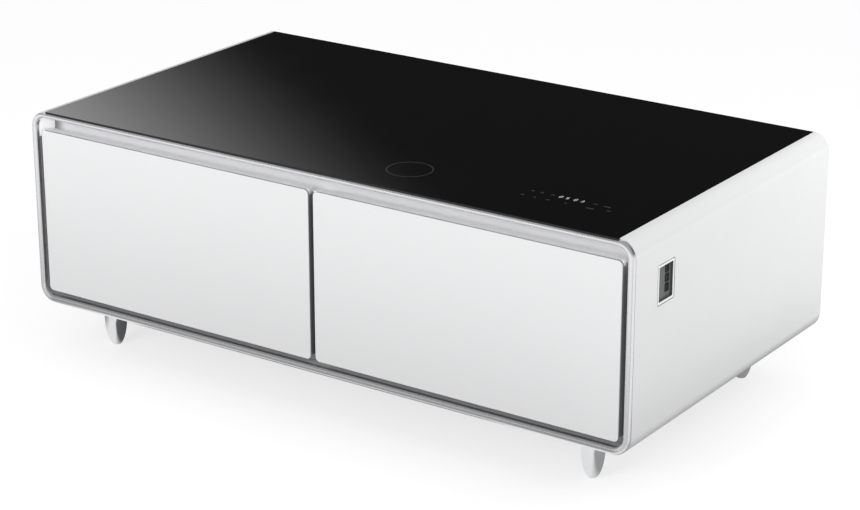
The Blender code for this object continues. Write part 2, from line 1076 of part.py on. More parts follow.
def make_rear_cover():
    """A steel sheet with two banks of upright vents and a cut-out for the inlet."""
    outside = cover_seat_y + rear_cover_thickness
    cover = prism(
        "rear_cover",
        inner_outline(fit_gap),
        "Y",
        cover_seat_y,
        outside,
        black_steel("rear_cover_paint"),
    )
    slot = rounded_rectangle(vent_width, vent_length, vent_width / 2, 1)
    bm = bmesh.new()
    for middle in (left_vents_x, right_vents_x):
        for index in range(vent_count):
            x = middle + (index - (vent_count - 1) / 2) * vent_pitch
            z = body_bottom + vent_height_above_base + vent_length / 2
            extrude_outline(bm, shifted(slot, x, z), "Y", cover_seat_y - overrun, outside + overrun)
    cut(cover, add_piece("cover_vents", bm, None))
    opening = prism(
        "cover_inlet_hole",
        rectangle(inlet_width + 2 * fit_gap, inlet_height + 2 * fit_gap),
        "Y",
        cover_seat_y - overrun,
        outside + overrun,
        None,
        (inlet_x, 0, inlet_z()),
    )
    return cut(cover, opening)


def foot_profile():
    """A bullet shape: a flat tip, a long round and a straight neck, with its stud on top."""
    tip_angle = math.degrees(math.acos(foot_tip_radius / foot_radius))
    lift = foot_round_height * math.sin(math.radians(tip_angle))
    points = [(0, 0)]
    points += arc(0, lift, foot_radius, foot_round_height, -tip_angle, 0, foot_profile_steps)
    top = foot_height - fit_gap
    points.append((foot_radius, top))
    points.append((stud_radius, top))
    points.append((stud_radius, top + stud_length))
    points.append((0, top + stud_length))
    return points


def make_feet():
    bm = bmesh.new()
    turn_profile(bm, foot_profile(), turned_steps)
    bmesh.ops.recalc_face_normals(bm, faces=bm.faces)
    mesh = bpy.data.meshes.new("foot")
    bm.to_mesh(mesh)
    bm.free()
    chrome = polished_chrome("foot_chrome")
    for word, x, y in foot_places():
        add_object("foot_" + word, mesh, chrome, (x, y, 0))


def foot_rail_top():
    return inner_bottom + fit_gap + foot_rail_thickness


def unite_nuts(piece, name, places, plate_bottom, plate_top):
    """Welds a nut over each stud, and bores the stud's hole through the nut and the plate."""
    top = plate_top + nut_height
    nuts = rods_along(name, "Z", nut_radius, plate_top - (plate_top - plate_bottom) / 2, top, places, 6)
    unite(piece, nuts)
    reach = (plate_bottom - overrun, top + overrun)
    holes = rods_along(name + "_bores", "Z", stud_radius + fit_gap, *reach, places)
    return cut(piece, holes)


def make_front_foot_rail():
    """A flat steel bar inside the shell's floor that ties the two front feet together."""
    (_, left, y), (_, right, _) = foot_places()[:2]
    bottom = inner_bottom + fit_gap
    rail = box(
        "front_foot_rail",
        (left - foot_rail_end, y - foot_rail_width / 2, bottom),
        (right + foot_rail_end, y + foot_rail_width / 2, foot_rail_top()),
        zinc_steel("foot_rail_steel"),
    )
    return unite_nuts(rail, "foot_rail_nuts", [(left, y, 0), (right, y, 0)], bottom, foot_rail_top())


def port_cutter(floor_x):
    """The room inside each upright port, which leaves its contact tongue standing."""
    bm = bmesh.new()
    tongue = shifted(rectangle(port_tongue_width, port_tongue_height), -port_tongue_offset, 0)
    hole = rectangle(port_width, port_height)
    for index in range(port_count):
        up = port_rise + (index - (port_count - 1) / 2) * port_pitch
        loops = []
        for outline, x in (
            (hole, floor_x - port_depth),
            (hole, floor_x + overrun),
            (tongue, floor_x + overrun),
            (tongue, floor_x - port_depth),
        ):
            loops.append([(x, a, b) for a, b in shifted(outline, port_offset, up)])
        bridge(bm, loops, ring=True)
    return bm


def make_socket_panel():
    """A white bezel flush with the right side, and a dark module with three upright ports."""
    y, z = bezel_middle()
    outer = rounded_rectangle(bezel_depth, bezel_height, bezel_corner_radius, 2)
    opening_depth = bezel_depth - 2 * bezel_border
    opening_height = bezel_height - 2 * bezel_border
    inner = rounded_rectangle(opening_depth, opening_height, bezel_corner_radius / 2, 2)
    face_x = half_width - fit_gap
    loops = []
    for outline, x in (
        (outer, inner_half_width),
        (outer, face_x),
        (inner, face_x),
        (inner, inner_half_width),
    ):
        loops.append([(x, a, b) for a, b in outline])
    bm = bmesh.new()
    bridge(bm, loops, ring=True)
    add_piece("socket_bezel", bm, white_plastic("bezel_plastic"), (0, y, z))
    front_x = inner_half_width - fit_gap
    module = prism(
        "socket_module",
        rectangle(bezel_depth + 2 * socket_body_margin, bezel_height + 2 * socket_body_margin),
        "X",
        front_x - socket_body_thickness,
        front_x,
        dark_plastic("socket_plastic"),
        (0, y, z),
    )
    floor_x = half_width - socket_recess
    recess = prism(
        "socket_recess_cut",
        rectangle(opening_depth, opening_height),
        "X",
        floor_x,
        half_width,
        None,
        (0, y, z),
    )
    cut(module, recess)
    return cut(module, add_piece("socket_ports_cut", port_cutter(floor_x), None, (0, y, z)))


def make_under_glass_module(name, outline, flange, place):
    """A flat module that fills its window up to the glass, with a flange under the shell's top."""
    flange_top = tray_under - fit_gap
    loops = []
    for shape, z in (
        (flange, flange_top - module_flange_thickness),
        (flange, flange_top),
        (outline, flange_top),
        (outline, tray_top),
    ):
        loops.append([(a, b, z) for a, b in shape])
    bm = bmesh.new()
    bridge(bm, loops)
    return add_piece(name, bm, dark_plastic(name + "_plastic"), place)


def make_display():
    long = display_length - 2 * fit_gap
    wide = display_width - 2 * fit_gap
    flange = rectangle(long + 2 * module_flange, wide + 2 * module_flange)
    place = (display_centre_x, display_y(), 0)
    return make_under_glass_module("display_module", rectangle(long, wide), flange, place)


def circle(radius, steps=turned_steps):
    return arc(0, 0, radius, radius, 0, 360, steps)[:-1]


def make_charger():
    """The wireless charger: a wound coil in a round case."""
    place = (charger_centre_x, charger_y(), 0)
    flange = circle(charger_radius + module_flange)
    return make_under_glass_module("wireless_charger", circle(charger_radius), flange, place)


def door_outline(inset=0):
    """A drawer front's outline about its middle in X, upward from its bottom edge."""
    outline = rounded_rectangle(
        door_width - 2 * inset, door_height - 2 * inset, door_corner_radius - inset
    )
    return shifted(outline, 0, door_height / 2)


def make_door_glass(name, parent):
    """A sheet of white glass with a fine bevel round its face."""
    loops = []
    for inset, depth in ((door_glass_bevel, 0), (0, door_glass_bevel), (0, door_glass_thickness)):
        loops.append([(x, depth, z) for x, z in door_outline(inset)])
    bm = bmesh.new()
    bridge(bm, loops)
    return add_piece(name, bm, white_glass(name + "_back_paint"), (0, 0, 0), parent)


def rail_section(depth):
    """The handle rail's section about its front top edge, as (depth, height) pairs."""
    wall = rail_wall
    edge = rail_edge_radius
    points = [(0, -rail_front_leg), (0, 0)]
    points += arc(depth - edge, -edge, edge, edge, 90, 0, 4)
    points.append((depth, -rail_back_lip))
    points.append((depth - wall, -rail_back_lip))
    points += arc(depth - edge, -edge, edge - wall, edge - wall, 0, 90, 3)
    points.append((wall, -wall))
    points.append((wall, -rail_front_leg))
    return points


def make_handle_rail(name, parent):
    """An inverted channel with a rounded back lip that the fingers hook over."""
    half = door_width / 2 - end_cap_length - fit_gap
    front = door_glass_thickness + fit_gap
    place = (0, front, door_height)
    surface = satin_aluminium(name + "_aluminium")
    return prism(name, rail_section(door_depth - front), "X", -half, half, surface, place, parent)


def make_end_cap(name, side, parent):
    """Closes one end of the handle rail; its plan is a quarter round."""
    front = door_glass_thickness + fit_gap
    depth = door_depth - front
    half = door_width / 2
    start = half - end_cap_length
    round_back = arc(start, front + end_cap_edge, end_cap_length, depth - end_cap_edge, 0, 90, 6)
    outline = [(start, front), (half, front)] + round_back
    sided = [(side * x, y) for x, y in outline]
    surface = white_plastic(name + "_plastic")
    return prism(name, sided, "Z", door_height - end_cap_height, door_height, surface, (0, 0, 0), parent)


def panel_outline():
    """The panel's outline: full width, lower under the rail and notched at its bottom corners."""
    half = door_width / 2 - fit_gap
    notch_x = door_width / 2 - bottom_cap_length - fit_gap
    notch_z = bottom_cap_height + fit_gap
    step_x = door_width / 2 - end_cap_length
    side_top = door_height - end_cap_height - fit_gap
    top = door_height - rail_front_leg - fit_gap
    right = [
        (notch_x, 0),
        (notch_x, notch_z),
        (half, notch_z),
        (half, side_top),
        (step_x, side_top),
        (step_x, top),
    ]
    return right + [(-x, z) for x, z in reversed(right)]


def make_door_panel(name, parent):
    """The drawer front's foamed body, with a raised plug on its back that enters the opening."""
    bm = bmesh.new()
    extrude_outline(bm, panel_outline(), "Y", door_glass_thickness + fit_gap, door_depth)
    panel = add_piece(name, bm, grey_plastic(name + "_plastic"), (0, 0, 0), parent)
    wide = 2 * (bin_half_width - fit_gap)
    tall = cavity_height - 2 * door_plug_margin
    middle = cavity_middle_z() - door_bottom
    loops = []
    for inset, depth in (
        (0, door_depth - overrun),
        (0, door_depth),
        (door_plug_taper, door_depth + door_plug_depth),
    ):
        outline = rounded_rectangle(wide - 2 * inset, tall - 2 * inset, cavity_corner_radius, 3)
        loops.append([(x, depth, z + middle) for x, z in outline])
    plug = bmesh.new()
    bridge(plug, loops)
    return unite(panel, add_piece(name + "_plug", plug, None, (0, 0, 0), parent))


def gasket_section():
    """A ring's section with a waist that folds, as (distance out, depth) pairs."""
    thick = gasket_thickness - 2 * fit_gap
    wide = gasket_width
    waist = gasket_waist
    bead = gasket_bead
    middle = thick / 2
    return [
        (0, 0),
        (wide, 0),
        (wide, bead),
        (wide - waist, middle),
        (wide, thick - bead),
        (wide, thick),
        (0, thick),
        (0, thick - bead),
        (waist, middle),
        (0, bead),
    ]


def make_door_gasket(name, parent):
    """A soft ring between the drawer front and the front frame."""
    start = door_depth + fit_gap
    middle = cavity_middle_z() - door_bottom
    loops = []
    for reach, depth in gasket_section():
        outline = window_outline(gasket_margin + reach)
        loops.append([(x, start + depth, z + middle) for x, z in outline])
    bm = bmesh.new()
    bridge(bm, loops, ring=True)
    return add_piece(name, bm, pale_rubber(name + "_rubber"), (0, 0, 0), parent)


def bin_loop(inset, radius, height):
    """One level outline of the bin, drawn in from its rim by this much."""
    long = bin_back_depth - bin_front_depth
    wide = 2 * (bin_half_width + bin_rim_width)
    middle_y = (bin_front_depth + bin_back_depth) / 2 - door_setback
    outline = rounded_rectangle(wide - 2 * inset, long - 2 * inset, radius, 4)
    return [(x, y + middle_y, height) for x, y in outline]


def make_bin(name, parent):
    """An open tub with a rounded floor edge and a turned-out rim."""
    floor = bin_bottom - door_bottom
    top = bin_top - door_bottom
    rim = bin_rim_width
    wall = rim + bin_wall
    corner = bin_corner_radius
    fillet = bin_floor_fillet
    outer = corner - rim
    inner = outer - bin_wall
    loops = [
        bin_loop(rim + fillet, outer - fillet, floor),
        bin_loop(rim, outer, floor + fillet),
        bin_loop(rim, outer, top - bin_rim_thickness),
        bin_loop(0, corner, top - bin_rim_thickness),
        bin_loop(0, corner, top),
        bin_loop(wall, inner, top),
        bin_loop(wall, inner, floor + fillet),
        bin_loop(rim + fillet, outer - fillet, floor + bin_wall),
    ]
    bm = bmesh.new()
    bridge(bm, loops)
    return add_piece(name, bm, white_plastic(name + "_plastic"), (0, 0, 0), parent)


def mirrored_down(half_section):
    """A whole section from its upper half, as (reach from the liner's wall, height) pairs."""
    return half_section + [(reach, -height) for reach, height in reversed(half_section)]


def runner_channel(start, end, half, lip):
    """A sheet channel whose two flanges turn in by lip at their free ends."""
    sheet = runner_sheet
    return mirrored_down(
        [
            (start, half),
            (end, half),
            (end, half - lip),
            (end - sheet, half - lip),
            (end - sheet, half - sheet),
            (start + sheet, half - sheet),
        ]
    )


def runner_step():
    """How much smaller each member is than the one round it."""
    return runner_sheet + runner_play


def carriage_web_start():
    return runner_space - fit_gap - runner_sheet


def fixed_runner_section():
    end = carriage_web_start() - runner_play
    lip = runner_sheet + runner_fixed_lip
    return runner_channel(fit_gap, end, runner_height / 2, lip)


def middle_runner_end():
    return carriage_web_start() - runner_play - runner_step()


def middle_runner_section():
    half = runner_height / 2 - runner_step()
    return runner_channel(fit_gap + runner_step(), middle_runner_end(), half, runner_middle_lip)


def carriage_section():
    """A side of the carriage: its runner, whose noses hook behind the middle runner, and a ledge."""
    sheet = runner_sheet
    web = carriage_web_start()
    inside = web + sheet
    half = runner_height / 2 - runner_step() - runner_middle_lip - runner_play
    nose = middle_runner_end() - runner_step()
    tip = half + runner_nose_turn
    bottom = bin_bottom - fit_gap - sheet - runner_z
    return [
        (inside, half),
        (nose, half),
        (nose, tip),
        (nose - sheet, tip),
        (nose - sheet, half - sheet),
        (web, half - sheet),
        (web, sheet - half),
        (nose - sheet, sheet - half),
        (nose - sheet, -tip),
        (nose, -tip),
        (nose, -half),
        (web, -half),
        (web, bottom),
        (inside + carriage_ledge, bottom),
        (inside + carriage_ledge, bottom + sheet),
        (inside, bottom + sheet),
    ]


def sided_section(section, side):
    """A section placed against the liner's wall on one side of a drawer."""
    return [(side * (cavity_half_width - reach), height) for reach, height in section]


def make_carriage(name, parent):
    """Two side plates with their runners and ledges, joined by a plate behind the drawer front."""
    length = runner_front_depth + runner_length - carriage_front_depth
    place = (0, carriage_front_depth - door_setback, runner_z - door_bottom)
    section = carriage_section()
    bm = bmesh.new()
    for side in (-1, 1):
        extrude_outline(bm, sided_section(section, side), "Y", 0, length)
    carriage = add_piece(name, bm, zinc_steel(name + "_steel"), place, parent)
    half = cavity_half_width - carriage_web_start() - runner_sheet / 2
    low = min(height for _, height in section) + fit_gap
    high = section[0][1] - fit_gap
    plate = box(
        name + "_front_plate",
        (-half, fit_gap, low),
        (half, fit_gap + runner_sheet, high),
        None,
        place,
        parent,
    )
    return unite(carriage, plate)


def make_runners(kind, word, section, place, parent=None):
    """The same member on both sides of a drawer, each its own object."""
    for end, side in (("left", -1), ("right", 1)):
        name = word + "_drawer_" + kind + "_runner_" + end
        steel = zinc_steel(name + "_steel")
        prism(name, sided_section(section, side), "Y", 0, runner_length, steel, place, parent)


def make_drawer(word, side):
    """One drawer with its runners. Its empty is at the front's bottom edge and slides along Y."""
    centre = side * door_centre_x
    name = word + "_drawer_"
    carrier = add_empty(name + "carrier", (centre, behind_front(door_setback), door_bottom))
    make_door_glass(name + "glass", carrier)
    make_handle_rail(name + "handle_rail", carrier)
    make_end_cap(name + "end_cap_left", -1, carrier)
    make_end_cap(name + "end_cap_right", 1, carrier)
    make_door_panel(name + "panel", carrier)
    make_door_gasket(name + "gasket", carrier)
    make_bin(name + "bin", carrier)
    make_carriage(name + "carriage", carrier)
    runner_place = (centre, behind_front(runner_front_depth), runner_z)
    slider = add_empty(name + "middle_runners", runner_place)
    make_runners("middle", word, middle_runner_section(), (0, 0, 0), slider)
    make_runners("fixed", word, fixed_runner_section(), runner_place)


def make_evaporator(word, side):
    """A bent tube that lies against the back of a liner, in the insulation's pocket."""
    centre = side * door_centre_x
    reach = cavity_half_width - evaporator_side_margin
    tall = (evaporator_run_count - 1) * evaporator_run_pitch
    points = serpentine(
        centre - reach,
        centre + reach,
        cavity_middle_z() - tall / 2,
        evaporator_run_pitch,
        evaporator_run_count,
        behind_front(liner_back_depth) + fit_gap + evaporator_tube_radius,
    )
    lead = Vector((-evaporator_lead, 0, 0))
    route = [points[0] + lead] + points + [points[-1] + lead]
    return pipe(word + "_evaporator_coil", route, evaporator_tube_radius, copper(word + "_coil_copper"))


def make_base_pan():
    """A shallow steel tray on the shell's floor, bolted down by the rear feet."""
    wide = 2 * base_pan_half_length
    deep = flange_front_y - bay_front_y - 2 * base_pan_clearance
    bottom = inner_bottom + fit_gap
    sheet = base_pan_thickness
    loops = []
    for inset, z in (
        (0, bottom),
        (0, bottom + base_pan_lip),
        (sheet, bottom + base_pan_lip),
        (sheet, pan_top),
    ):
        outline = rounded_rectangle(wide - 2 * inset, deep - 2 * inset, base_pan_lip - inset, 2)
        loops.append([(x, y + bay_middle_y, z) for x, y in outline])
    bm = bmesh.new()
    bridge(bm, loops)
    pan = add_piece("base_pan", bm, zinc_steel("base_pan_steel"))
    places = [(x, y, 0) for _, x, y in foot_places()[2:]]
    return unite_nuts(pan, "base_pan_nuts", places, bottom, pan_top)


def mount_places():
    reach = compressor_base_size / 2 - mount_inset
    places = []
    for across in (-reach, reach):
        for along in (-reach, reach):
            places.append((compressor_x + across, bay_middle_y + along, 0))
    return places


def bush_top():
    return pan_top + fit_gap + mount_sheet_thickness + mount_bush_height


def make_compressor_mount():
    """A rubber sheet with four bushes, whose nubs pass through the ears of the compressor's base."""
    bottom = pan_top + fit_gap
    outline = rounded_rectangle(compressor_base_size, compressor_base_size, mount_inset, 3)
    mount = prism(
        "compressor_mount",
        outline,
        "Z",
        bottom,
        bottom + mount_sheet_thickness,
        black_rubber("mount_rubber"),
        (compressor_x, bay_middle_y, 0),
    )
    profile = [
        (0, bottom + mount_sheet_thickness / 2),
        (mount_bush_radius, bottom + mount_sheet_thickness / 2),
        (mount_bush_radius, bush_top()),
        (mount_nub_radius, bush_top()),
        (mount_nub_radius, bush_top() + mount_nub_height),
        (0, bush_top() + mount_nub_height),
    ]
    bm = bmesh.new()
    for place in mount_places():
        turn_profile(bm, profile, small_turned_steps, "Z", place)
    return unite(mount, add_piece("mount_bushes", bm, None))


def pot_floor():
    return bush_top() + fit_gap + compressor_base_thickness / 2


def pot_top():
    return pot_floor() + compressor_height


def pot_profile():
    """A pot with a rounded foot, a seam that stands out and a domed lid."""
    radius = compressor_radius
    foot = compressor_bottom_radius
    seam = pot_floor() + compressor_height * compressor_seam_share
    flange = radius + compressor_seam_width
    dome = radius * compressor_dome_share
    points = [(0, pot_floor())]
    points += arc(radius - foot, pot_floor() + foot, foot, foot, -90, 0, 3)
    points.append((radius, seam))
    points.append((flange, seam))
    points.append((flange, seam + compressor_seam_height))
    points += arc(0, pot_top() - dome, radius, dome, 0, 90, 7)[:-1]
    points.append((0, pot_top()))
    return points


def stub_places():
    """The suction stub on the left and the discharge stub on the right of the lid's middle."""
    left = (compressor_x - stub_offset, bay_middle_y, 0)
    right = (compressor_x + stub_offset, bay_middle_y, 0)
    return left, right


def stub_top():
    return pot_top() + stub_height


def make_compressor():
    """A welded steel pot with two pipe stubs, on a plate with a hole in each corner."""
    place = (compressor_x, bay_middle_y, 0)
    pot = turned("compressor", pot_profile(), turned_steps, black_steel("compressor_paint"), "Z", place)
    bottom = bush_top() + fit_gap
    plate = prism(
        "compressor_base",
        rounded_rectangle(compressor_base_size, compressor_base_size, mount_inset, 3),
        "Z",
        bottom,
        bottom + compressor_base_thickness,
        None,
        place,
    )
    unite(pot, plate)
    start = pot_top() - compressor_radius * compressor_dome_share
    unite(pot, rods_along("compressor_stubs", "Z", stub_radius, start, stub_top(), stub_places()))
    holes = rods_along(
        "compressor_ear_holes",
        "Z",
        mount_nub_radius + fit_gap,
        bottom - overrun,
        bottom + compressor_base_thickness + overrun,
        mount_places(),
    )
    return cut(pot, holes)


def make_terminal_cover():
    """The cover over the compressor's terminals, on the side away from the fan."""
    bottom = pot_floor() + compressor_height * terminal_cover_rise_share
    radius = compressor_radius + 2 * fit_gap
    turn = terminal_cover_half_angle
    hug = arc(0, 0, radius, radius, 180 + turn, 180 - turn, 6)
    far = compressor_radius + terminal_cover_depth
    outline = [(-far, hug[-1][1]), (-far, hug[0][1])] + hug
    cover = prism(
        "terminal_cover",
        outline,
        "Z",
        bottom,
        bottom + terminal_cover_height,
        grey_plastic("terminal_plastic"),
        (compressor_x, bay_middle_y, 0),
    )
    return soften(cover, terminal_cover_round, 1)


def fan_centre():
    return Vector((fan_x, bay_middle_y, pan_top + fit_gap + fan_size / 2))


def fan_strut_outlines():
    """Four bars from the motor plate to the frame, as (Y, Z) pairs."""
    near = fan_plate_radius / 2
    far = fan_bore_radius + overrun / 2
    side = fan_strut_width / 2
    bar = [(near, -side), (far, -side), (far, side), (near, side)]
    outlines = []
    for quarter in range(4):
        cosine = math.cos(quarter * math.pi / 2)
        sine = math.sin(quarter * math.pi / 2)
        outlines.append([(a * cosine - b * sine, a * sine + b * cosine) for a, b in bar])
    return outlines


def make_fan_frame():
    """A square frame with a round bore, four struts and the pin that the rotor turns on."""
    half = fan_thickness / 2
    plate_end = fan_plate_thickness - half
    outer = rounded_rectangle(fan_size, fan_size, fan_corner_radius, 3)
    place = fan_centre()
    frame = prism("fan_frame", outer, "X", -half, half, dark_plastic("fan_frame_plastic"), place)
    bore = rod_profile(fan_bore_radius, -half - overrun, half + overrun)
    cut(frame, turned("fan_bore", bore, fan_bore_steps, None, "X", place))
    struts = bmesh.new()
    for outline in fan_strut_outlines():
        extrude_outline(struts, outline, "X", -half, plate_end)
    unite(frame, add_piece("fan_struts", struts, None, place))
    plate = rod_profile(fan_plate_radius, -half, plate_end)
    unite(frame, turned("fan_motor_plate", plate, turned_steps, None, "X", place))
    pin_end = plate_end + fit_gap + rotor_bore_depth() - fit_gap
    pin = rod_profile(fan_pin_radius, plate_end - fan_plate_thickness / 2, pin_end)
    return unite(frame, turned("fan_pin", pin, small_turned_steps, None, "X", place))


def rotor_bore_depth():
    return fan_hub_length - fan_plate_thickness


def blade_line(share, turn, face):
    """Points along one face of a blade at this share of its length; face is -1 or 1."""
    root = fan_hub_radius * blade_root_share
    radius = root + (fan_tip_radius - root) * share
    pitch = math.radians(blade_root_pitch + (blade_tip_pitch - blade_root_pitch) * share)
    chord_share = blade_root_chord_share + (blade_tip_chord_share - blade_root_chord_share) * share
    chord = fan_hub_length * chord_share
    sweep = math.radians(blade_sweep) * share
    points = []
    for column in range(blade_columns):
        across = 2 * column / (blade_columns - 1) - 1
        along = across * chord / 2
        lift = blade_camber_share * chord * (1 - across**2) + face * fan_blade_thickness / 2
        axial = fan_hub_length / 2 + along * math.sin(pitch) + lift * math.cos(pitch)
        around = along * math.cos(pitch) - lift * math.sin(pitch)
        angle = turn + sweep + around / radius
        points.append((axial, radius * math.cos(angle), radius * math.sin(angle)))
    return points


def add_blade(bm, turn):
    """One cambered, twisted blade, from inside the hub out to the tip."""
    loops = []
    for row in range(blade_rows):
        share = row / (blade_rows - 1)
        loops.append(blade_line(share, turn, 1) + blade_line(share, turn, -1)[::-1])
    bridge(bm, loops)


def make_fan_rotor():
    """The hub with its swept, twisted blades. Its origin lies on the pin's axis."""
    place = fan_centre() + Vector((fan_plate_thickness - fan_thickness / 2 + fit_gap, 0, 0))
    bore = fan_pin_radius + fit_gap
    crown = fan_hub_crown
    length = fan_hub_length
    points = [(0, length)]
    points += arc(fan_hub_radius - crown, length - crown, crown, crown, 90, 0, 2)
    points += [(fan_hub_radius, 0), (bore, 0), (bore, rotor_bore_depth()), (0, rotor_bore_depth())]
    rotor = turned("fan_rotor", points, turned_steps, dark_plastic("fan_rotor_plastic"), "X", place)
    blades = bmesh.new()
    for index in range(fan_blade_count):
        add_blade(blades, math.tau * index / fan_blade_count)
    return unite(rotor, add_piece("fan_blades", blades, None, place))


def condenser_y():
    return flange_front_y - condenser_rear_clearance


def condenser_bottom():
    return pan_top + fit_gap + condenser_first_height


def condenser_top():
    return condenser_bottom() + (condenser_run_count - 1) * condenser_run_pitch


def drier_bottom():
    return condenser_bottom() + drier_rise


def condenser_route():
    """From the drier, up through the level runs, then over the fan and down to the compressor."""
    y = condenser_y()
    bottom = condenser_bottom()
    top = condenser_top()
    _, (stub_x, stub_y, _) = stub_places()
    runs = serpentine(
        condenser_right_x, condenser_left_x, bottom, condenser_run_pitch, condenser_run_count, y
    )
    inlet = bent_route(
        [(drier_x, y, drier_bottom() - fit_gap), (drier_x, y, bottom), (condenser_right_x, y, bottom)],
        pipe_bend_radius,
    )
    outlet = bent_route(
        [
            (condenser_left_x, y, top),
            (stub_x, y, top),
            (stub_x, stub_y, top),
            (stub_x, stub_y, stub_top() + fit_gap),
        ],
        pipe_bend_radius,
    )
    return inlet + runs[1:] + outlet[1:]


def mesh_from_curve(piece):
    """Replaces a curve object by a mesh object of the same form, so that a Boolean can join it."""
    graph = bpy.context.evaluated_depsgraph_get()
    mesh = bpy.data.meshes.new_from_object(piece.evaluated_get(graph))
    bm = bmesh.new()
    bm.from_mesh(mesh)
    bmesh.ops.remove_doubles(bm, verts=bm.verts, dist=fit_gap / 10)
    bmesh.ops.recalc_face_normals(bm, faces=bm.faces)
    bm.to_mesh(mesh)
    bm.free()
    name = piece.name
    bpy.data.objects.remove(piece, do_unlink=True)
    return add_object(name, mesh, None)


def make_condenser():
    """One long bent tube of level runs, welded to two posts that stand on the base pan."""
    paint = black_steel("condenser_paint")
    condenser = mesh_from_curve(pipe("condenser", condenser_route(), condenser_tube_radius, paint))
    sheet = condenser_post_sheet
    back = condenser_y() - condenser_tube_radius + sheet / 2
    front = back - sheet
    low = pan_top + fit_gap
    high = condenser_top() + condenser_run_pitch / 2
    section = [
        (back, low),
        (back, high),
        (front, high),
        (front, low + sheet),
        (front - condenser_post_foot, low + sheet),
        (front - condenser_post_foot, low),
    ]
    posts = bmesh.new()
    span = condenser_right_x - condenser_left_x
    half = condenser_post_width / 2
    for share in (condenser_post_share, 1 - condenser_post_share):
        x = condenser_left_x + share * span
        extrude_outline(posts, section, "X", x - half, x + half)
    return unite(condenser, add_piece("condenser_posts", posts, None))


def make_filter_drier():
    """A copper can with a narrow neck at both ends, upright beside the condenser."""
    neck = drier_neck_length
    length = drier_length
    profile = [
        (0, 0),
        (drier_neck_radius, 0),
        (drier_neck_radius, neck),
        (drier_radius, 2 * neck),
        (drier_radius, length - 2 * neck),
        (drier_neck_radius, length - neck),
        (drier_neck_radius, length),
        (0, length),
    ]
    place = (drier_x, condenser_y(), drier_bottom())
    return turned("filter_drier", profile, small_turned_steps, copper("drier_copper"), "Z", place)


def make_suction_pipe():
    """From the bulkhead, over the compressor and down to its suction stub."""
    (x, y, _), _ = stub_places()
    high = stub_top() + suction_rise
    route = bent_route(
        [(x, bay_front_y + fit_gap, high), (x, y, high), (x, y, stub_top() + fit_gap)],
        pipe_bend_radius,
    )
    return pipe("suction_pipe", route, suction_radius, copper("suction_copper"))


def make_capillary_tube():
    """A thin tube from the drier, wound into a small coil and led to the bulkhead."""
    y = condenser_y()
    low = drier_bottom() + drier_length + fit_gap
    high = low + capillary_rise
    coil_y = y - 2 * capillary_bend_radius
    route = bent_route(
        [(drier_x, y, low), (drier_x, y, high), (drier_x, coil_y, high)], capillary_bend_radius
    )
    steps = capillary_coil_turns * capillary_coil_steps
    for step in range(1, steps + 1):
        angle = math.tau * step / capillary_coil_steps
        x = drier_x + capillary_coil_radius * (1 - math.cos(angle))
        z = high + capillary_coil_pitch * step / capillary_coil_steps
        route.append(Vector((x, coil_y - capillary_coil_radius * math.sin(angle), z)))
    route.append(Vector((drier_x, bay_front_y + fit_gap, route[-1].z)))
    return pipe("capillary_tube", route, capillary_radius, copper("capillary_copper"), 1)


def make_control_box():
    """A plastic hood on the base pan, open underneath."""
    wall = control_box_wall
    bottom = pan_top + fit_gap
    top = bottom + control_box_height
    corner = 2 * wall
    loops = []
    for inset, z in ((0, top), (0, bottom), (wall, bottom), (wall, top - wall)):
        outline = rounded_rectangle(
            control_box_length - 2 * inset, control_box_width - 2 * inset, corner - inset, 2
        )
        loops.append([(x, y, z) for x, y in outline])
    bm = bmesh.new()
    bridge(bm, loops)
    place = (control_box_x, bay_middle_y, 0)
    return add_piece("control_box", bm, grey_plastic("control_box_plastic"), place)


def make_control_board():
    """The circuit board under the hood, with its feet and its tallest parts."""
    half_x = control_box_length / 2 - control_board_margin
    half_y = control_box_width / 2 - control_board_margin
    low = pan_top + fit_gap
    bottom = low + control_board_foot
    top = bottom + control_board_thickness
    place = (control_box_x, bay_middle_y, 0)
    board = box(
        "control_board",
        (-half_x, -half_y, bottom),
        (half_x, half_y, top),
        green_board("control_board_lacquer"),
        place,
    )
    unit = control_unit_size
    mid = (bottom + top) / 2
    parts = bmesh.new()
    for side in (-1, 1):
        edge = sorted((side * half_x, side * (half_x - unit / 2)))
        add_box(parts, (edge[0], -half_y, low), (edge[1], half_y, mid))
    add_box(parts, (-half_x + unit, -unit, mid), (-half_x + 3 * unit, unit, top + unit))
    add_box(parts, (0, -unit, mid), (unit, 0, top + unit / 2))
    add_box(parts, (2 * unit, -unit / 2, mid), (half_x - unit / 2, unit, top + unit / 2))
    return unite(board, add_piece("board_parts", parts, None, place))


def inlet_mouth():
    """The mouth's outline, with its two upper corners cut off."""
    across = inlet_width / 2 - inlet_wall
    up = inlet_height / 2 - inlet_wall
    chamfer = inlet_corner_cut
    return [
        (-across, -up),
        (across, -up),
        (across, up - chamfer),
        (across - chamfer, up),
        (chamfer - across, up),
        (-across, up - chamfer),
    ]


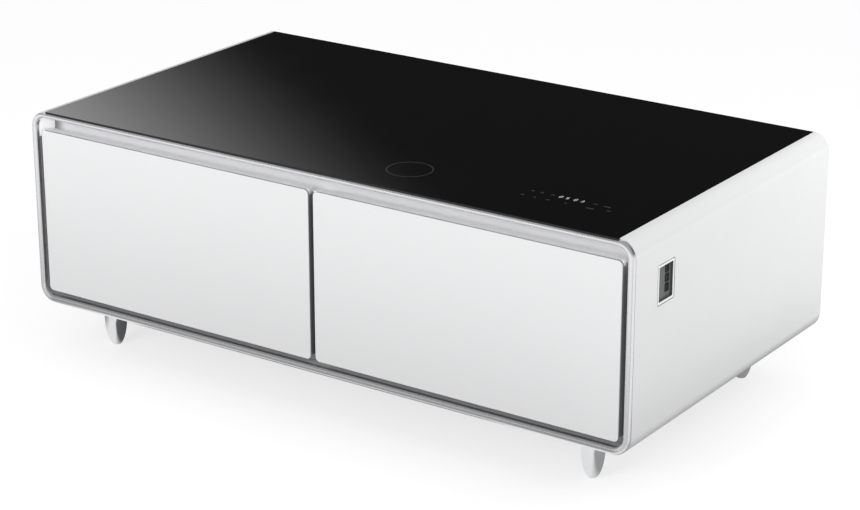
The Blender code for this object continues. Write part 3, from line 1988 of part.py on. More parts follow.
def make_power_inlet():
    """A mains inlet: a flange behind the rear cover, a hollow shroud and three flat pins."""
    front = cover_seat_y + rear_cover_thickness
    back = front - inlet_depth
    place = (inlet_x, 0, inlet_z())
    shroud = rectangle(inlet_width, inlet_height)
    socket = prism("power_inlet", shroud, "Y", back, front, dark_plastic("inlet_plastic"), place)
    flange_back = cover_seat_y - fit_gap
    flange = prism(
        "inlet_flange",
        rectangle(inlet_flange_width, inlet_flange_height),
        "Y",
        flange_back - inlet_flange_thickness,
        flange_back,
        None,
        place,
    )
    unite(socket, flange)
    cut(socket, prism("inlet_hollow", inlet_mouth(), "Y", back + inlet_wall, front + overrun, None, place))
    pins = bmesh.new()
    start = back + inlet_wall / 2
    end = back + inlet_wall + inlet_pin_length
    for column in (-1, 0, 1):
        x = column * inlet_pin_pitch
        z = inlet_pin_drop - 2 * inlet_pin_drop * abs(column)
        low = (x - inlet_pin_width / 2, start, z - inlet_pin_height / 2)
        high = (x + inlet_pin_width / 2, end, z + inlet_pin_height / 2)
        add_box(pins, low, high)
    return unite(socket, add_piece("inlet_pins", pins, None, place))


def make_cabinet():
    make_outer_shell()
    make_glass_top()
    make_front_trim()
    make_finger_channel()
    make_channel_end_caps()
    make_front_frame()
    for word, side in (("left", -1), ("right", 1)):
        make_liner(word, side)
        make_evaporator(word, side)
    make_insulation()
    make_feet()
    make_front_foot_rail()
    make_socket_panel()
    make_display()
    make_charger()


def make_machine_compartment():
    make_bulkhead()
    make_rear_cover()
    make_base_pan()
    make_compressor_mount()
    make_compressor()
    make_terminal_cover()
    make_fan_frame()
    make_fan_rotor()
    make_condenser()
    make_filter_drier()
    make_suction_pipe()
    make_capillary_tube()
    make_control_box()
    make_control_board()
    make_power_inlet()


def main():
    clear_scene()
    make_cabinet()
    make_machine_compartment()
    for word, side in (("left", -1), ("right", 1)):
        make_drawer(word, side)


main()
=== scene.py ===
"""Looks of the refrigerator coffee table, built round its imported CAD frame.

X runs along the long side, Y from the front to the back and Z is up, in metres.
"""

import json
import math
from functools import cache

import bmesh
import bpy
from mathutils import Matrix, Vector

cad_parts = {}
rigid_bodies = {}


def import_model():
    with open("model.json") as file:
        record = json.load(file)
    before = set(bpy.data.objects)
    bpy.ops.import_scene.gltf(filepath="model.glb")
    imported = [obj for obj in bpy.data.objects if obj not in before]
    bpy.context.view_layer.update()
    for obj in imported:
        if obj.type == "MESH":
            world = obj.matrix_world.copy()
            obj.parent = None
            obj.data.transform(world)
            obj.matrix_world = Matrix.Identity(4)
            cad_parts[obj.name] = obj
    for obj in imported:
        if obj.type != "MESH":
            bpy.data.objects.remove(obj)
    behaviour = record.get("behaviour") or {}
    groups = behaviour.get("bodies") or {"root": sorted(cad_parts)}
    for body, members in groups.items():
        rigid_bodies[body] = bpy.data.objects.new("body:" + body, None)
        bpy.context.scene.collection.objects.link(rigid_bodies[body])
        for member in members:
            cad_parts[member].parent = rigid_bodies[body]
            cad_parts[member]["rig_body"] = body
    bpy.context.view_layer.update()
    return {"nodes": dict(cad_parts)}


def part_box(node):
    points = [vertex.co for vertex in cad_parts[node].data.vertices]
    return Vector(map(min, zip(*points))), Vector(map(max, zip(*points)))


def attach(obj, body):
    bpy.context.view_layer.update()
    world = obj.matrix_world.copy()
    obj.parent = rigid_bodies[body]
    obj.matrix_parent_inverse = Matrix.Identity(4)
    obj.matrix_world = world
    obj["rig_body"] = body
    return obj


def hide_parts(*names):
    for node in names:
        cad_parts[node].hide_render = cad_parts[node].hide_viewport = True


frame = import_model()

bl_info = {
    "name": "Refrigerator coffee table",
    "version": (1, 0, 0),
    "blender": (4, 5, 0),
    "location": "View3D > Sidebar > Table",
    "description": "Builds the finishes and small pieces of a refrigerator coffee table",
    "category": "Object",
}

# Clearances and smoothness
skin = 0.00008
fit_gap = 0.0003
crease_angle = math.radians(38)
weld_distance = 0.000002

# The socket panel: its border, the depth of its floor, and its ports from its middle
bezel_border = 0.005
panel_recess = 0.0045
port_count = 3
port_pitch = 0.0168
port_offset = 0.0095
port_rise = 0.004

# Places read from the CAD frame
glass_low, glass_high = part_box("glass_top")
cover_low, cover_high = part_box("rear_cover")
inlet_low, inlet_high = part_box("power_inlet")
condenser_low, condenser_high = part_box("condenser")
bezel_low, bezel_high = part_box("socket_bezel")
socket_low, socket_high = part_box("socket_module")
display_low, display_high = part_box("display_module")
charger_low, charger_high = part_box("wireless_charger")
trim_low, trim_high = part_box("front_trim")
shell_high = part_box("outer_shell")[1]
channel_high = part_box("finger_channel")[1]
bezel_middle = (bezel_low + bezel_high) / 2
mark_levels = (glass_high.z - 2 * skin, glass_high.z)


class Value:
    """One output of a node; each operator used on it adds a Math node."""

    def __init__(self, surface, socket):
        self.surface = surface
        self.socket = socket

    def maths(self, operation, *others):
        inputs = dict(enumerate([self, *others]))
        return self.surface.node("ShaderNodeMath", {"operation": operation}, inputs)

    def __add__(self, other):
        return self.maths("ADD", other)

    def __sub__(self, other):
        return self.maths("SUBTRACT", other)

    def __rsub__(self, other):
        return self.surface.node("ShaderNodeMath", {"operation": "SUBTRACT"}, {0: other, 1: self})

    def __mul__(self, other):
        return self.maths("MULTIPLY", other)

    def __abs__(self):
        return self.maths("ABSOLUTE")

    __radd__ = __add__
    __rmul__ = __mul__

    def larger(self, other):
        return self.maths("MAXIMUM", other)

    def smaller(self, other):
        return self.maths("MINIMUM", other)

    def rise(self, low, high):
        """Goes smoothly from 0 at low to 1 at high."""
        inputs = {0: self, 1: low, 2: high, 3: 0.0, 4: 1.0}
        return self.surface.node("ShaderNodeMapRange", {"interpolation_type": "SMOOTHSTEP"}, inputs)

    def spread(self, low, high):
        """Goes from low where this value is 0 to high where it is 1."""
        return self.surface.node("ShaderNodeMapRange", {}, {0: self, 1: 0.0, 2: 1.0, 3: low, 4: high})

    def near(self, middle, reach):
        """Is 1 within this reach of the middle and 0 beyond it."""
        fade = 0.0002
        return 1 - abs(self - middle).rise(reach, reach + fade)


class Surface:
    """A node tree being written, with one method that adds any node."""

    def __init__(self, tree):
        self.tree = tree
        self.tree.nodes.clear()

    def node(self, kind, options=None, inputs=None, output=0):
        made = self.tree.nodes.new(kind)
        for key, value in (options or {}).items():
            setattr(made, key, value)
        for key, value in (inputs or {}).items():
            if isinstance(value, Value):
                self.tree.links.new(value.socket, made.inputs[key])
            else:
                made.inputs[key].default_value = value
        return Value(self, made.outputs[output]) if len(made.outputs) else None

    def axis(self, letter, places="Object"):
        """X, Y or Z of the object's own coordinates, or of other ones."""
        where = self.node("ShaderNodeTexCoord", output=places)
        return self.node("ShaderNodeSeparateXYZ", {}, {0: where}, letter)

    def stretched(self, scale):
        where = self.node("ShaderNodeTexCoord", output="Object")
        return self.node("ShaderNodeMapping", {}, {"Vector": where, "Scale": scale})

    def noise(self, size, detail=3.0, stretch=(1, 1, 1)):
        """Noise from 0 to 1 whose lumps have about this size."""
        scale = [share / size for share in stretch]
        inputs = {"Vector": self.stretched(scale), "Scale": 1.0, "Detail": detail, "Roughness": 0.55}
        return self.node("ShaderNodeTexNoise", {}, inputs)

    def cells(self, size, output="Distance"):
        inputs = {"Vector": self.stretched([1 / size] * 3), "Scale": 1.0}
        return self.node("ShaderNodeTexVoronoi", {}, inputs, output)

    def patches(self, size):
        """Cells that each have a shade of their own."""
        return self.node("ShaderNodeRGBToBW", {}, {0: self.cells(size, "Color")})

    def colour(self, factor, first, second):
        """The first colour where the factor is 0 and the second where it is 1."""
        inputs = {0: factor, 6: opaque(first), 7: opaque(second)}
        return self.node("ShaderNodeMix", {"data_type": "RGBA"}, inputs, 2)

    def bump(self, height, distance, under=None):
        inputs = {"Height": height, "Distance": distance, "Strength": 1.0}
        if under:
            inputs["Normal"] = under
        return self.node("ShaderNodeBump", {}, inputs)


def opaque(colour):
    """A colour with full alpha; a linked colour is passed through."""
    return colour if isinstance(colour, Value) else (*colour[:3], 1.0)


def dulled(colour, share):
    """A darker shade of a plain colour."""
    return [channel * share for channel in colour]


def look(name):
    """Makes a material, once, from a function that gives the inputs of its Principled shader."""

    def wrap(give_inputs):
        @cache
        def finish():
            material = bpy.data.materials.new(name + "_look")
            material.use_nodes = True
            surface = Surface(material.node_tree)
            inputs = give_inputs(surface)
            for key in inputs:
                if key.endswith("Color"):
                    inputs[key] = opaque(inputs[key])
            shader = surface.node("ShaderNodeBsdfPrincipled", {}, inputs)
            surface.node("ShaderNodeOutputMaterial", {}, {"Surface": shader})
            return material

        return finish

    return wrap


def settings():
    return bpy.context.scene.coffee_table


@look("shell_enamel")
def enamel(surface):
    """White powder coat with a faint orange peel and slight handling marks."""
    base = settings().shell_colour
    mottle = surface.noise(0.09, 2.0)
    smear = surface.noise(0.035, 4.0, (1, 0.4, 1))
    peel = surface.noise(0.0028, 2.0)
    return {
        "Base Color": surface.colour(mottle, dulled(base, 0.965), base),
        "Roughness": smear.spread(0.26, 0.38),
        "Normal": surface.bump(peel, 0.00004),
        "Coat Weight": smear.spread(0.25, 0.4),
        "Coat Roughness": 0.12,
    }


@look("top_glass")
def black_glass(surface):
    """Toughened glass, painted black underneath, with the faintest smears."""
    smear = surface.noise(0.11, 3.0, (1, 0.5, 1))
    dust = surface.noise(0.0016, 1.0).rise(0.74, 0.82)
    edge = 1 - surface.axis("Z").rise(glass_high.z - 0.0010, glass_high.z - 0.0006)
    edged = surface.colour(edge, settings().glass_colour, (0.004, 0.005, 0.005))
    return {
        "Base Color": surface.colour(dust * 0.2, edged, (0.12, 0.12, 0.125)),
        "Roughness": smear.spread(0.03, 0.075) + dust * 0.05,
        "IOR": 1.5,
        "Specular IOR Level": 0.5,
        "Normal": surface.bump(surface.noise(0.25, 1.0), 0.00005),
    }


@look("drawer_glass")
def white_glass(surface):
    """Clear glass over white back paint: bright, glossy, greener at its ground edge."""
    base = settings().drawer_colour
    front_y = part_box("right_drawer_glass")[0].y
    face = 1 - surface.axis("Y").rise(front_y + 0.0002, front_y + 0.0008)
    ground = surface.colour(face, (0.20, 0.225, 0.22), base)
    smear = surface.noise(0.07, 4.0, (1, 1, 0.5))
    return {
        "Base Color": surface.colour(smear * 0.35, ground, dulled(base, 0.97)),
        "Roughness": smear.spread(0.09, 0.15),
        "Normal": surface.bump(surface.noise(0.16, 1.0), 0.00004),
    }


@look("trim_aluminium")
def trim_aluminium(surface):
    """Satin anodised bead with fine lines brushed along it, and a painted dark reflection along its bottom
    run.
    """
    base = settings().aluminium_colour
    height = surface.axis("Z") - trim_low.z
    # Painted dark reflection: the flat of the bottom run is darkened, but not in the corners
    painted_dark_band = height.rise(0.0042, 0.0062) * (1 - height.rise(0.0092, 0.0108) * 0.45)
    bottom = 1 - height.rise(0.0150, 0.0200)
    inside = 1 - abs(surface.axis("X")).rise(trim_high.x - 0.035, trim_high.x - 0.015)
    lines = surface.noise(0.0006, 3.0, (0.3, 1, 0.3))
    grain = lines * 0.5 + surface.noise(0.05, 3.0) * 0.5
    bright = surface.colour(grain, dulled(base, 0.90), base)
    return {
        "Base Color": surface.colour(painted_dark_band * bottom * inside, bright, dulled(base, 0.54)),
        "Metallic": 0.9,
        "Roughness": grain.spread(0.22, 0.34),
        "Normal": surface.bump(lines, 0.000012),
    }


def drawn_aluminium(name, painted_end_shade):
    """Satin anodised extrusion, drawn along its length, with painted shade towards its closed ends."""

    @look(name)
    def drawn(surface):
        base = settings().channel_colour
        lines = surface.noise(0.0005, 3.0, (0.02, 1, 1))
        grain = lines * 0.5 + surface.noise(0.03, 3.0, (0.3, 1, 1)) * 0.5
        bright = surface.colour(grain, dulled(base, 0.94), base)
        # Painted shade: darker towards the closed ends of the channel
        end_shade_mask = abs(surface.axis("X")).rise(channel_high.x - 0.030, channel_high.x - 0.002)
        return {
            "Base Color": surface.colour(end_shade_mask * painted_end_shade, bright, dulled(base, 0.28)),
            "Metallic": 0.1,
            "Roughness": grain.spread(0.38, 0.50),
            "Normal": surface.bump(lines, 0.00001),
        }

    return drawn


channel_aluminium = drawn_aluminium("channel_aluminium", 1.0)
rail_aluminium = drawn_aluminium("rail_aluminium", 0.0)


def plastic(name, colour, roughness, grain_size, grain_depth, gloss=0.0, glow=0.0):
    """Moulded plastic or rubber with a fine grain and a soft change of sheen; a glow, where given, is
    painted light.
    """

    @look(name)
    def moulded(surface):
        base = colour or settings().plastic_colour
        grain = surface.noise(grain_size, 2.0)
        flow = surface.noise(0.05, 3.0)
        mottled = surface.colour(flow * 0.7 + grain * 0.3, dulled(base, 0.94), base)
        return {
            "Base Color": mottled,
            "Roughness": (flow * 0.6 + grain * 0.4).spread(roughness * 0.85, roughness * 1.15),
            "Normal": surface.bump(grain, grain_depth),
            "Coat Weight": gloss,
            "Coat Roughness": 0.15,
            # Painted light: where a glow is given, the plastic shines in its own colour
            "Emission Color": mottled,
            "Emission Strength": glow,
        }

    return moulded


bright_white = (0.93, 0.932, 0.935)
white_plastic = plastic("white_plastic", None, 0.32, 0.0012, 0.00003, 0.25)
bright_plastic = plastic("bright_plastic", bright_white, 0.3, 0.0012, 0.00003, 0.3)
# Painted light: the cap glows so that it shows bright white in the shaded channel
channel_cap_plastic = plastic("channel_cap_plastic", bright_white, 0.3, 0.0012, 0.00003, 0.3, 0.52)
grey_plastic = plastic("grey_plastic", (0.20, 0.205, 0.21), 0.48, 0.0009, 0.00006)
# Painted light: a faint glow lightens the front frame in the shaded gaps round the drawers
light_plastic = plastic("light_plastic", (0.50, 0.505, 0.515), 0.42, 0.0009, 0.00005, 0.0, 0.06)
dark_plastic = plastic("dark_plastic", (0.022, 0.022, 0.024), 0.42, 0.0009, 0.00006)
pale_rubber = plastic("seal_rubber", (0.50, 0.505, 0.515), 0.62, 0.0007, 0.00004)
black_rubber = plastic("mount_rubber", (0.009, 0.009, 0.009), 0.7, 0.0011, 0.00008)


@look("bezel_plastic")
def bezel_plastic(surface):
    """Bright white plastic, with painted shade down the walls of its opening."""
    reach = bezel_high - bezel_middle
    edge = bezel_border - 0.0002
    near_y = surface.axis("Y").near(bezel_middle.y, reach.y - edge)
    near_z = surface.axis("Z").near(bezel_middle.z, reach.z - edge)
    # Painted shade: the walls of the opening are dark
    painted_wall_shade = near_y * near_z * (1 - surface.axis("X").rise(bezel_high.x - 0.0010, bezel_high.x - 0.0005))
    grain = surface.noise(0.0012, 2.0)
    face = surface.colour(grain, (0.90, 0.902, 0.905), bright_white)
    return {
        "Base Color": surface.colour(painted_wall_shade, face, (0.09, 0.092, 0.095)),
        "Roughness": grain.spread(0.27, 0.33),
        "Normal": surface.bump(grain, 0.00003),
        "Coat Weight": 0.3 - painted_wall_shade * 0.3,
        "Coat Roughness": 0.15,
    }


@look("liner_plastic")
def liner_plastic(surface):
    """Vacuum-formed sheet: white, softly glossy, with a shallow waviness."""
    base = settings().plastic_colour
    wave = surface.noise(0.03, 2.0)
    grain = surface.noise(0.0016, 2.0)
    scuff = surface.noise(0.012, 4.0, (1, 0.15, 1)).rise(0.62, 0.8)
    return {
        "Base Color": surface.colour(wave * 0.7 + scuff * 0.3, base, dulled(base, 0.95)),
        "Roughness": wave.spread(0.24, 0.36) + scuff * 0.12,
        "Normal": surface.bump(grain, 0.00002, surface.bump(wave, 0.0002)),
    }


@look("zinc_steel")
def zinc_steel(surface):
    """Zinc-plated sheet with soft crystals and a fine rolled grain."""
    rolled = surface.noise(0.0006, 3.0, (0.6, 0.02, 1))
    mixed = surface.patches(0.009) * 0.45 + rolled * 0.25 + surface.noise(0.05, 4.0) * 0.3
    return {
        "Base Color": surface.colour(mixed, (0.47, 0.48, 0.50), (0.70, 0.71, 0.73)),
        "Metallic": 1.0,
        "Roughness": mixed.spread(0.26, 0.46),
        "Normal": surface.bump(rolled, 0.000015),
    }


@look("black_steel")
def black_steel(surface):
    """Black textured enamel over sheet steel."""
    peel = surface.noise(0.0019, 3.0)
    dust = surface.noise(0.04, 5.0).rise(0.5, 0.85)
    return {
        "Base Color": surface.colour(dust * 0.5, (0.016, 0.016, 0.017), (0.045, 0.045, 0.046)),
        "Roughness": (peel * 0.5 + dust * 0.5).spread(0.34, 0.56),
        "Normal": surface.bump(peel, 0.0001),
    }


@look("foot_chrome")
def chrome(surface):
    """Polished chrome with hairline scratches and slight haze."""
    hairs = surface.noise(0.0007, 3.0, (1, 1, 0.03)).rise(0.55, 0.8)
    haze = surface.noise(0.02, 3.0)
    return {
        "Base Color": surface.colour(haze, (0.70, 0.71, 0.725), (0.80, 0.805, 0.815)),
        "Metallic": 1.0,
        "Roughness": haze.spread(0.05, 0.12) + hairs * 0.06,
        "Normal": surface.bump(hairs, 0.000004),
    }


@look("copper")
def copper(surface):
    """Drawn copper tube, tarnished in patches."""
    tarnish = surface.noise(0.014, 4.0).rise(0.4, 0.75)
    lines = surface.noise(0.0008, 2.0)
    return {
        "Base Color": surface.colour(tarnish, (0.82, 0.42, 0.26), (0.36, 0.17, 0.10)),
        "Metallic": 1.0,
        "Roughness": (tarnish * 0.7 + lines * 0.3).spread(0.18, 0.5),
        "Normal": surface.bump(lines, 0.00001),
    }


@look("insulation_foam")
def foam(surface):
    """Rigid foam: pale yellow, with a skin of small cells."""
    cell = surface.cells(0.0035)
    shade = surface.noise(0.05, 3.0) * 0.6 + cell * 0.4
    return {
        "Base Color": surface.colour(shade, (0.80, 0.66, 0.36), (0.90, 0.79, 0.50)),
        "Roughness": cell.spread(0.75, 0.95),
        "Normal": surface.bump(cell, 0.0006),
    }


@look("circuit_board")
def circuit_board(surface):
    """Green lacquer over copper tracks, with pale pads."""
    track_pitch = 0.0031
    along = (surface.axis("X") * (1 / track_pitch)).maths("FRACT")
    zone = surface.patches(0.012).maths("GREATER_THAN", 0.45)
    track = along.rise(0.35, 0.45) * (1 - along.rise(0.6, 0.7)) * zone
    pad = 1 - surface.cells(0.004).rise(0.12, 0.16)
    green = surface.colour(track, (0.008, 0.085, 0.034), (0.02, 0.19, 0.07))
    return {
        "Base Color": surface.colour(pad, green, (0.60, 0.58, 0.52)),
        "Metallic": pad * 0.8,
        "Roughness": pad.spread(0.3, 0.35),
        "Normal": surface.bump(track, 0.00008),
    }


@look("socket_plastic")
def socket_plastic(surface):
    """Grey floor round the ports, and black inside them."""
    tongue = surface.axis("Y").near(bezel_middle.y + port_offset - 0.0008, 0.0011)
    floor = surface.axis("X").rise(socket_high.x - 0.0019, socket_high.x - 0.0016) * (1 - tongue)
    grain = surface.noise(0.0009, 2.0)
    pocket = surface.colour(grain, (0.006, 0.006, 0.007), (0.012, 0.012, 0.013))
    field = surface.colour(grain, (0.085, 0.087, 0.090), (0.135, 0.137, 0.141))
    return {
        "Base Color": surface.colour(floor, pocket, field),
        "Roughness": grain.spread(0.36, 0.5),
        "Normal": surface.bump(grain, 0.00005),
    }


@look("inlet_plastic")
def inlet_plastic(surface):
    """Black shroud with bright flat pins inside it."""
    middle = (inlet_low + inlet_high) / 2
    near_x = surface.axis("X").near(middle.x, 0.0088)
    near_z = surface.axis("Z").near(middle.z, 0.0052)
    pin = near_x * near_z * surface.axis("Y").rise(inlet_low.y + 0.0021, inlet_low.y + 0.0022)
    grain = surface.noise(0.0009, 2.0)
    return {
        "Base Color": surface.colour(pin, (0.02, 0.02, 0.021), (0.72, 0.70, 0.64)),
        "Metallic": pin,
        "Roughness": grain.spread(0.36, 0.5) - pin * 0.16,
        "Normal": surface.bump(grain, 0.00004),
    }


@look("faint_print")
def faint_print(surface):
    """Grey print seen through the top glass."""
    wear = surface.noise(0.002, 2.0)
    return {
        "Base Color": surface.colour(wear, (0.055, 0.056, 0.058), (0.075, 0.076, 0.079)),
        "Roughness": wear.spread(0.04, 0.07),
    }


def lit_print(name, base, grain_size, low, high):
    """Marks with light behind them."""

    @look(name)
    def lit(surface):
        glow = surface.noise(grain_size, 2.0)
        return {
            "Base Color": base,
            "Roughness": glow.spread(0.04, 0.07),
            "Emission Color": surface.colour(glow, low, high),
            "Emission Strength": 1.0,
        }

    return lit


weak_light = ((0.045, 0.047, 0.050), (0.075, 0.078, 0.083))
full_light = ((0.72, 0.78, 0.86), (0.90, 0.95, 1.0))
icon_print = lit_print("icon_print", (0.05, 0.052, 0.055), 0.004, *weak_light)
lit_digits = lit_print("lit_digits", (0.1, 0.1, 0.11), 0.003, *full_light)


@look("contact_gold")
def gold(surface):
    """Plated contact strips."""
    rub = surface.noise(0.0008, 2.0)
    return {
        "Base Color": surface.colour(rub, (0.78, 0.58, 0.25), (0.90, 0.72, 0.38)),
        "Metallic": 1.0,
        "Roughness": rub.spread(0.2, 0.34),
    }


@look("screw_steel")
def screw_steel(surface):
    """Blackened screw heads, rubbed bright at their edges."""
    rub = surface.noise(0.0015, 3.0).rise(0.5, 0.75)
    return {
        "Base Color": surface.colour(rub, (0.09, 0.09, 0.095), (0.34, 0.34, 0.35)),
        "Metallic": 0.9,
        "Roughness": rub.spread(0.3, 0.46),
    }


@look("floor")
def studio_floor(surface):
    """White to the camera and in mirrors, with dark fields for the feet and the trim to mirror."""
    x, y = surface.axis("X"), surface.axis("Y")
    out_x = (abs(x) - shell_high.x).larger(0)
    out_y = (abs(y) - shell_high.y).larger(0)
    away = (out_x * out_x + out_y * out_y).maths("SQRT")
    # Painted shadow for bounced light: dark near the table, and lighter far from it and on its right
    near = (1 - away.rise(0.0, 2.2)) * (1 - x.rise(0.6, 0.9) * 0.5)
    # The front feet stand this far on either side of the line on which across is 0
    foot_reach = 0.431
    across = x * 0.81 + y * 0.59 + 0.158
    # Dark fields for mirrors: painted shadow beneath the table and on its right, and dark patches on its
    # left and before it
    behind_feet = y.rise(-0.40, -0.36)
    beneath = behind_feet * (across + foot_reach).rise(-0.010, 0.014) * (1 - x.rise(0.28, 0.40))
    beyond = (across - foot_reach).rise(-0.012, 0.030)
    right = behind_feet * beyond * (1 - x.rise(0.80, 0.90)) * (1 - y.rise(0.35, 0.9))
    past_front = y.rise(-0.50, -0.42)
    left = past_front * (0 - x).rise(0.56, 0.70)
    before = y.rise(-1.25, -0.62) * (1 - past_front)
    bright = (1 - beneath * 0.92) * (1 - left * 0.62) * (1 - right * 0.66) * (1 - before * 0.5)
    black, white = (0.0, 0.0, 0.0), (0.90, 0.90, 0.90)
    seen = surface.node("ShaderNodeLightPath", output="Is Camera Ray")
    bounced = surface.node("ShaderNodeLightPath", output="Is Diffuse Ray")
    shaded = surface.colour(near, white, (0.06, 0.06, 0.062))
    matt = surface.colour(bounced, (0.10, 0.10, 0.10), shaded)
    glow = surface.colour(bounced, surface.colour(bright, black, white), black)
    return {
        "Base Color": surface.colour(seen, matt, (0.33, 0.33, 0.33)),
        "Roughness": 0.9,
        "Specular IOR Level": 0.0,
        "Emission Color": surface.colour(seen, glow, (0.71, 0.71, 0.71)),
        "Emission Strength": 1.0,
    }


def body_of(node):
    return frame["nodes"][node]["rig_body"]


def shade_soft(bm):
    """Soft shading everywhere but over edges sharper than the crease angle."""
    for face in bm.faces:
        face.smooth = True
    for edge in bm.edges:
        edge.smooth = len(edge.link_faces) == 2 and edge.calc_face_angle(0) < crease_angle


def placed(name, data):
    """A new object in the scene, at the origin."""
    made = bpy.data.objects.new(name, data)
    bpy.context.scene.collection.objects.link(made)
    return made


def mesh_object(name, bm, material=None):
    """Ends a mesh under construction in an object."""
    mesh = bpy.data.meshes.new(name)
    bm.to_mesh(mesh)
    bm.free()
    if material:
        mesh.materials.append(material)
    return placed(name, mesh)


def plain_mesh(piece):
    """The evaluated form of a piece as its own mesh, without modifiers."""
    graph = bpy.context.evaluated_depsgraph_get()
    mesh = bpy.data.meshes.new_from_object(piece.evaluated_get(graph))
    piece.modifiers.clear()
    piece.data = mesh
    return piece


def weigh_normals(piece):
    """Keeps broad faces flat and lets the narrow ones turn the corner."""
    modifier = piece.modifiers.new("weights", "WEIGHTED_NORMAL")
    modifier.keep_sharp = True
    return plain_mesh(piece)


def new_piece(name, bm, material, body):
    """Turns a mesh under construction into a piece that rides on a body."""
    bmesh.ops.remove_doubles(bm, verts=bm.verts, dist=weld_distance)
    bmesh.ops.recalc_face_normals(bm, faces=bm.faces)
    shade_soft(bm)
    piece = weigh_normals(mesh_object(name, bm, material))
    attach(piece, body)
    return piece


def finished(node, finish, reshape=None):
    """A welded copy of a CAD node, with soft shading and its look, in the node's place."""
    bm = bmesh.new()
    bm.from_mesh(frame["nodes"][node].data)
    bmesh.ops.remove_doubles(bm, verts=bm.verts, dist=weld_distance)
    if reshape:
        reshape(bm)
    shade_soft(bm)
    piece = weigh_normals(mesh_object(node + "_look", bm, finish()))
    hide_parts(node)
    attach(piece, body_of(node))


def arc(centre_a, centre_b, radius, start, end, steps):
    """Points along part of a circle, from one angle to another in degrees."""
    points = []
    for step in range(steps + 1):
        angle = math.radians(start + (end - start) * step / steps)
        points.append((centre_a + radius * math.cos(angle), centre_b + radius * math.sin(angle)))
    return points


def rectangle(low_a, low_b, high_a, high_b):
    return [(low_a, low_b), (high_a, low_b), (high_a, high_b), (low_a, high_b)]


def join_loops(bm, loops, ring=False):
    """Spans equal loops of points; a ring closes on its first loop, and anything else has flat ends."""
    rows = [[bm.verts.new(point) for point in loop] for loop in loops]
    for row, other in zip(rows, rows[1:] + rows[:1] if ring else rows[1:]):
        for index in range(len(row)):
            after = (index + 1) % len(row)
            bm.faces.new((row[index], row[after], other[after], other[index]))
    if not ring:
        bm.faces.new(rows[0])
        bm.faces.new(rows[-1])
    return bm


def add_block(bm, low, high):
    """A box between two corners."""
    middle = (Vector(low) + Vector(high)) / 2
    size = Vector(high) - Vector(low)
    place = Matrix.Translation(middle) @ Matrix.Diagonal((*size, 1))
    bmesh.ops.create_cube(bm, size=1, matrix=place)
    return bm


def add_band(bm, centre, radius, width, start=0, end=360, steps=96):
    """A thin printed ring or arc at the marks' level in the glass."""
    low_z, high_z = mark_levels
    outer = arc(centre[0], centre[1], radius, start, end, steps)
    inner = arc(centre[0], centre[1], radius - width, start, end, steps)
    sections = [[(*a, low_z), (*a, high_z), (*b, high_z), (*b, low_z)] for a, b in zip(outer, inner)]
    whole = end - start == 360
    return join_loops(bm, sections[:-1] if whole else sections, ring=whole)


class Graph(Surface):
    """A geometry node tree with named inputs."""

    def __init__(self, name, named):
        group = bpy.data.node_groups.new(name, "GeometryNodeTree")
        super().__init__(group)
        group.interface.new_socket("Geometry", in_out="OUTPUT", socket_type="NodeSocketGeometry")
        for label, kind in named.items():
            group.interface.new_socket(label, in_out="INPUT", socket_type="NodeSocket" + kind)
        self.source = group.nodes.new("NodeGroupInput")

    def given(self, label):
        return Value(self, self.source.outputs[label])

    def end(self, shape):
        """Ends the tree in one plain mesh with the given material."""
        realized = self.node("GeometryNodeRealizeInstances", {}, {0: shape})
        inputs = {"Geometry": realized, "Material": self.given("Material")}
        surfaced = self.node("GeometryNodeSetMaterial", {}, inputs)
        self.node("NodeGroupOutput", {}, {0: surfaced})
        return self.tree


@cache
def rows_tree():
    """Rows of one piece: a line of places, each carrying a second line of places."""
    named = {
        "Piece": "Object",
        "Start": "Vector",
        "Columns": "Int",
        "Column step": "Vector",
        "Rows": "Int",
        "Row step": "Vector",
        "Material": "Material",
    }
    graph = Graph("Rows of one piece", named)
    line = ("GeometryNodeMeshLine", {"mode": "OFFSET"})
    spots = {"Count": graph.given("Columns"), "Start Location": graph.given("Start")}
    columns = graph.node(*line, {**spots, "Offset": graph.given("Column step")})
    rows = graph.node(*line, {"Count": graph.given("Rows"), "Offset": graph.given("Row step")})
    spread = graph.node("GeometryNodeInstanceOnPoints", {}, {"Points": columns, "Instance": rows})
    places = graph.node("GeometryNodeRealizeInstances", {}, {0: spread})
    own_place = {"transform_space": "ORIGINAL"}
    piece = graph.node("GeometryNodeObjectInfo", own_place, {"Object": graph.given("Piece")}, "Geometry")
    return graph.end(graph.node("GeometryNodeInstanceOnPoints", {}, {"Points": places, "Instance": piece}))


def repeat(name, bm, material, start, columns, rows=(1, (0, 0, 0))):
    """Copies of a small shape on the cabinet; columns and rows are each a count and a step."""
    bmesh.ops.recalc_face_normals(bm, faces=bm.faces)
    shade_soft(bm)
    shape = mesh_object(name + "_shape", bm)
    values = {
        "Piece": shape,
        "Start": start,
        "Columns": columns[0],
        "Column step": columns[1],
        "Rows": rows[0],
        "Row step": rows[1],
        "Material": material,
    }
    piece = placed(name, bpy.data.meshes.new(name))
    modifier = piece.modifiers.new("nodes", "NODES")
    modifier.node_group = rows_tree()
    for item in modifier.node_group.interface.items_tree:
        if item.in_out == "INPUT":
            modifier[item.identifier] = values[item.name]
    bpy.context.view_layer.update()
    plain_mesh(piece)
    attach(piece, "cabinet")
    bpy.data.objects.remove(shape)


def cross_outline(reach, half):
    """A cross of sixteen points, in step with the head's sides."""
    points = []
    for turn in range(4):
        angle = math.radians(90 * turn)
        across = Vector((math.cos(angle), math.sin(angle)))
        side = Vector((-across.y, across.x))
        for along, aside in ((reach, 0), (reach, half), (half * 1.4, half * 1.4), (half, reach)):
            points.append(tuple(across * along + side * aside))
    return points


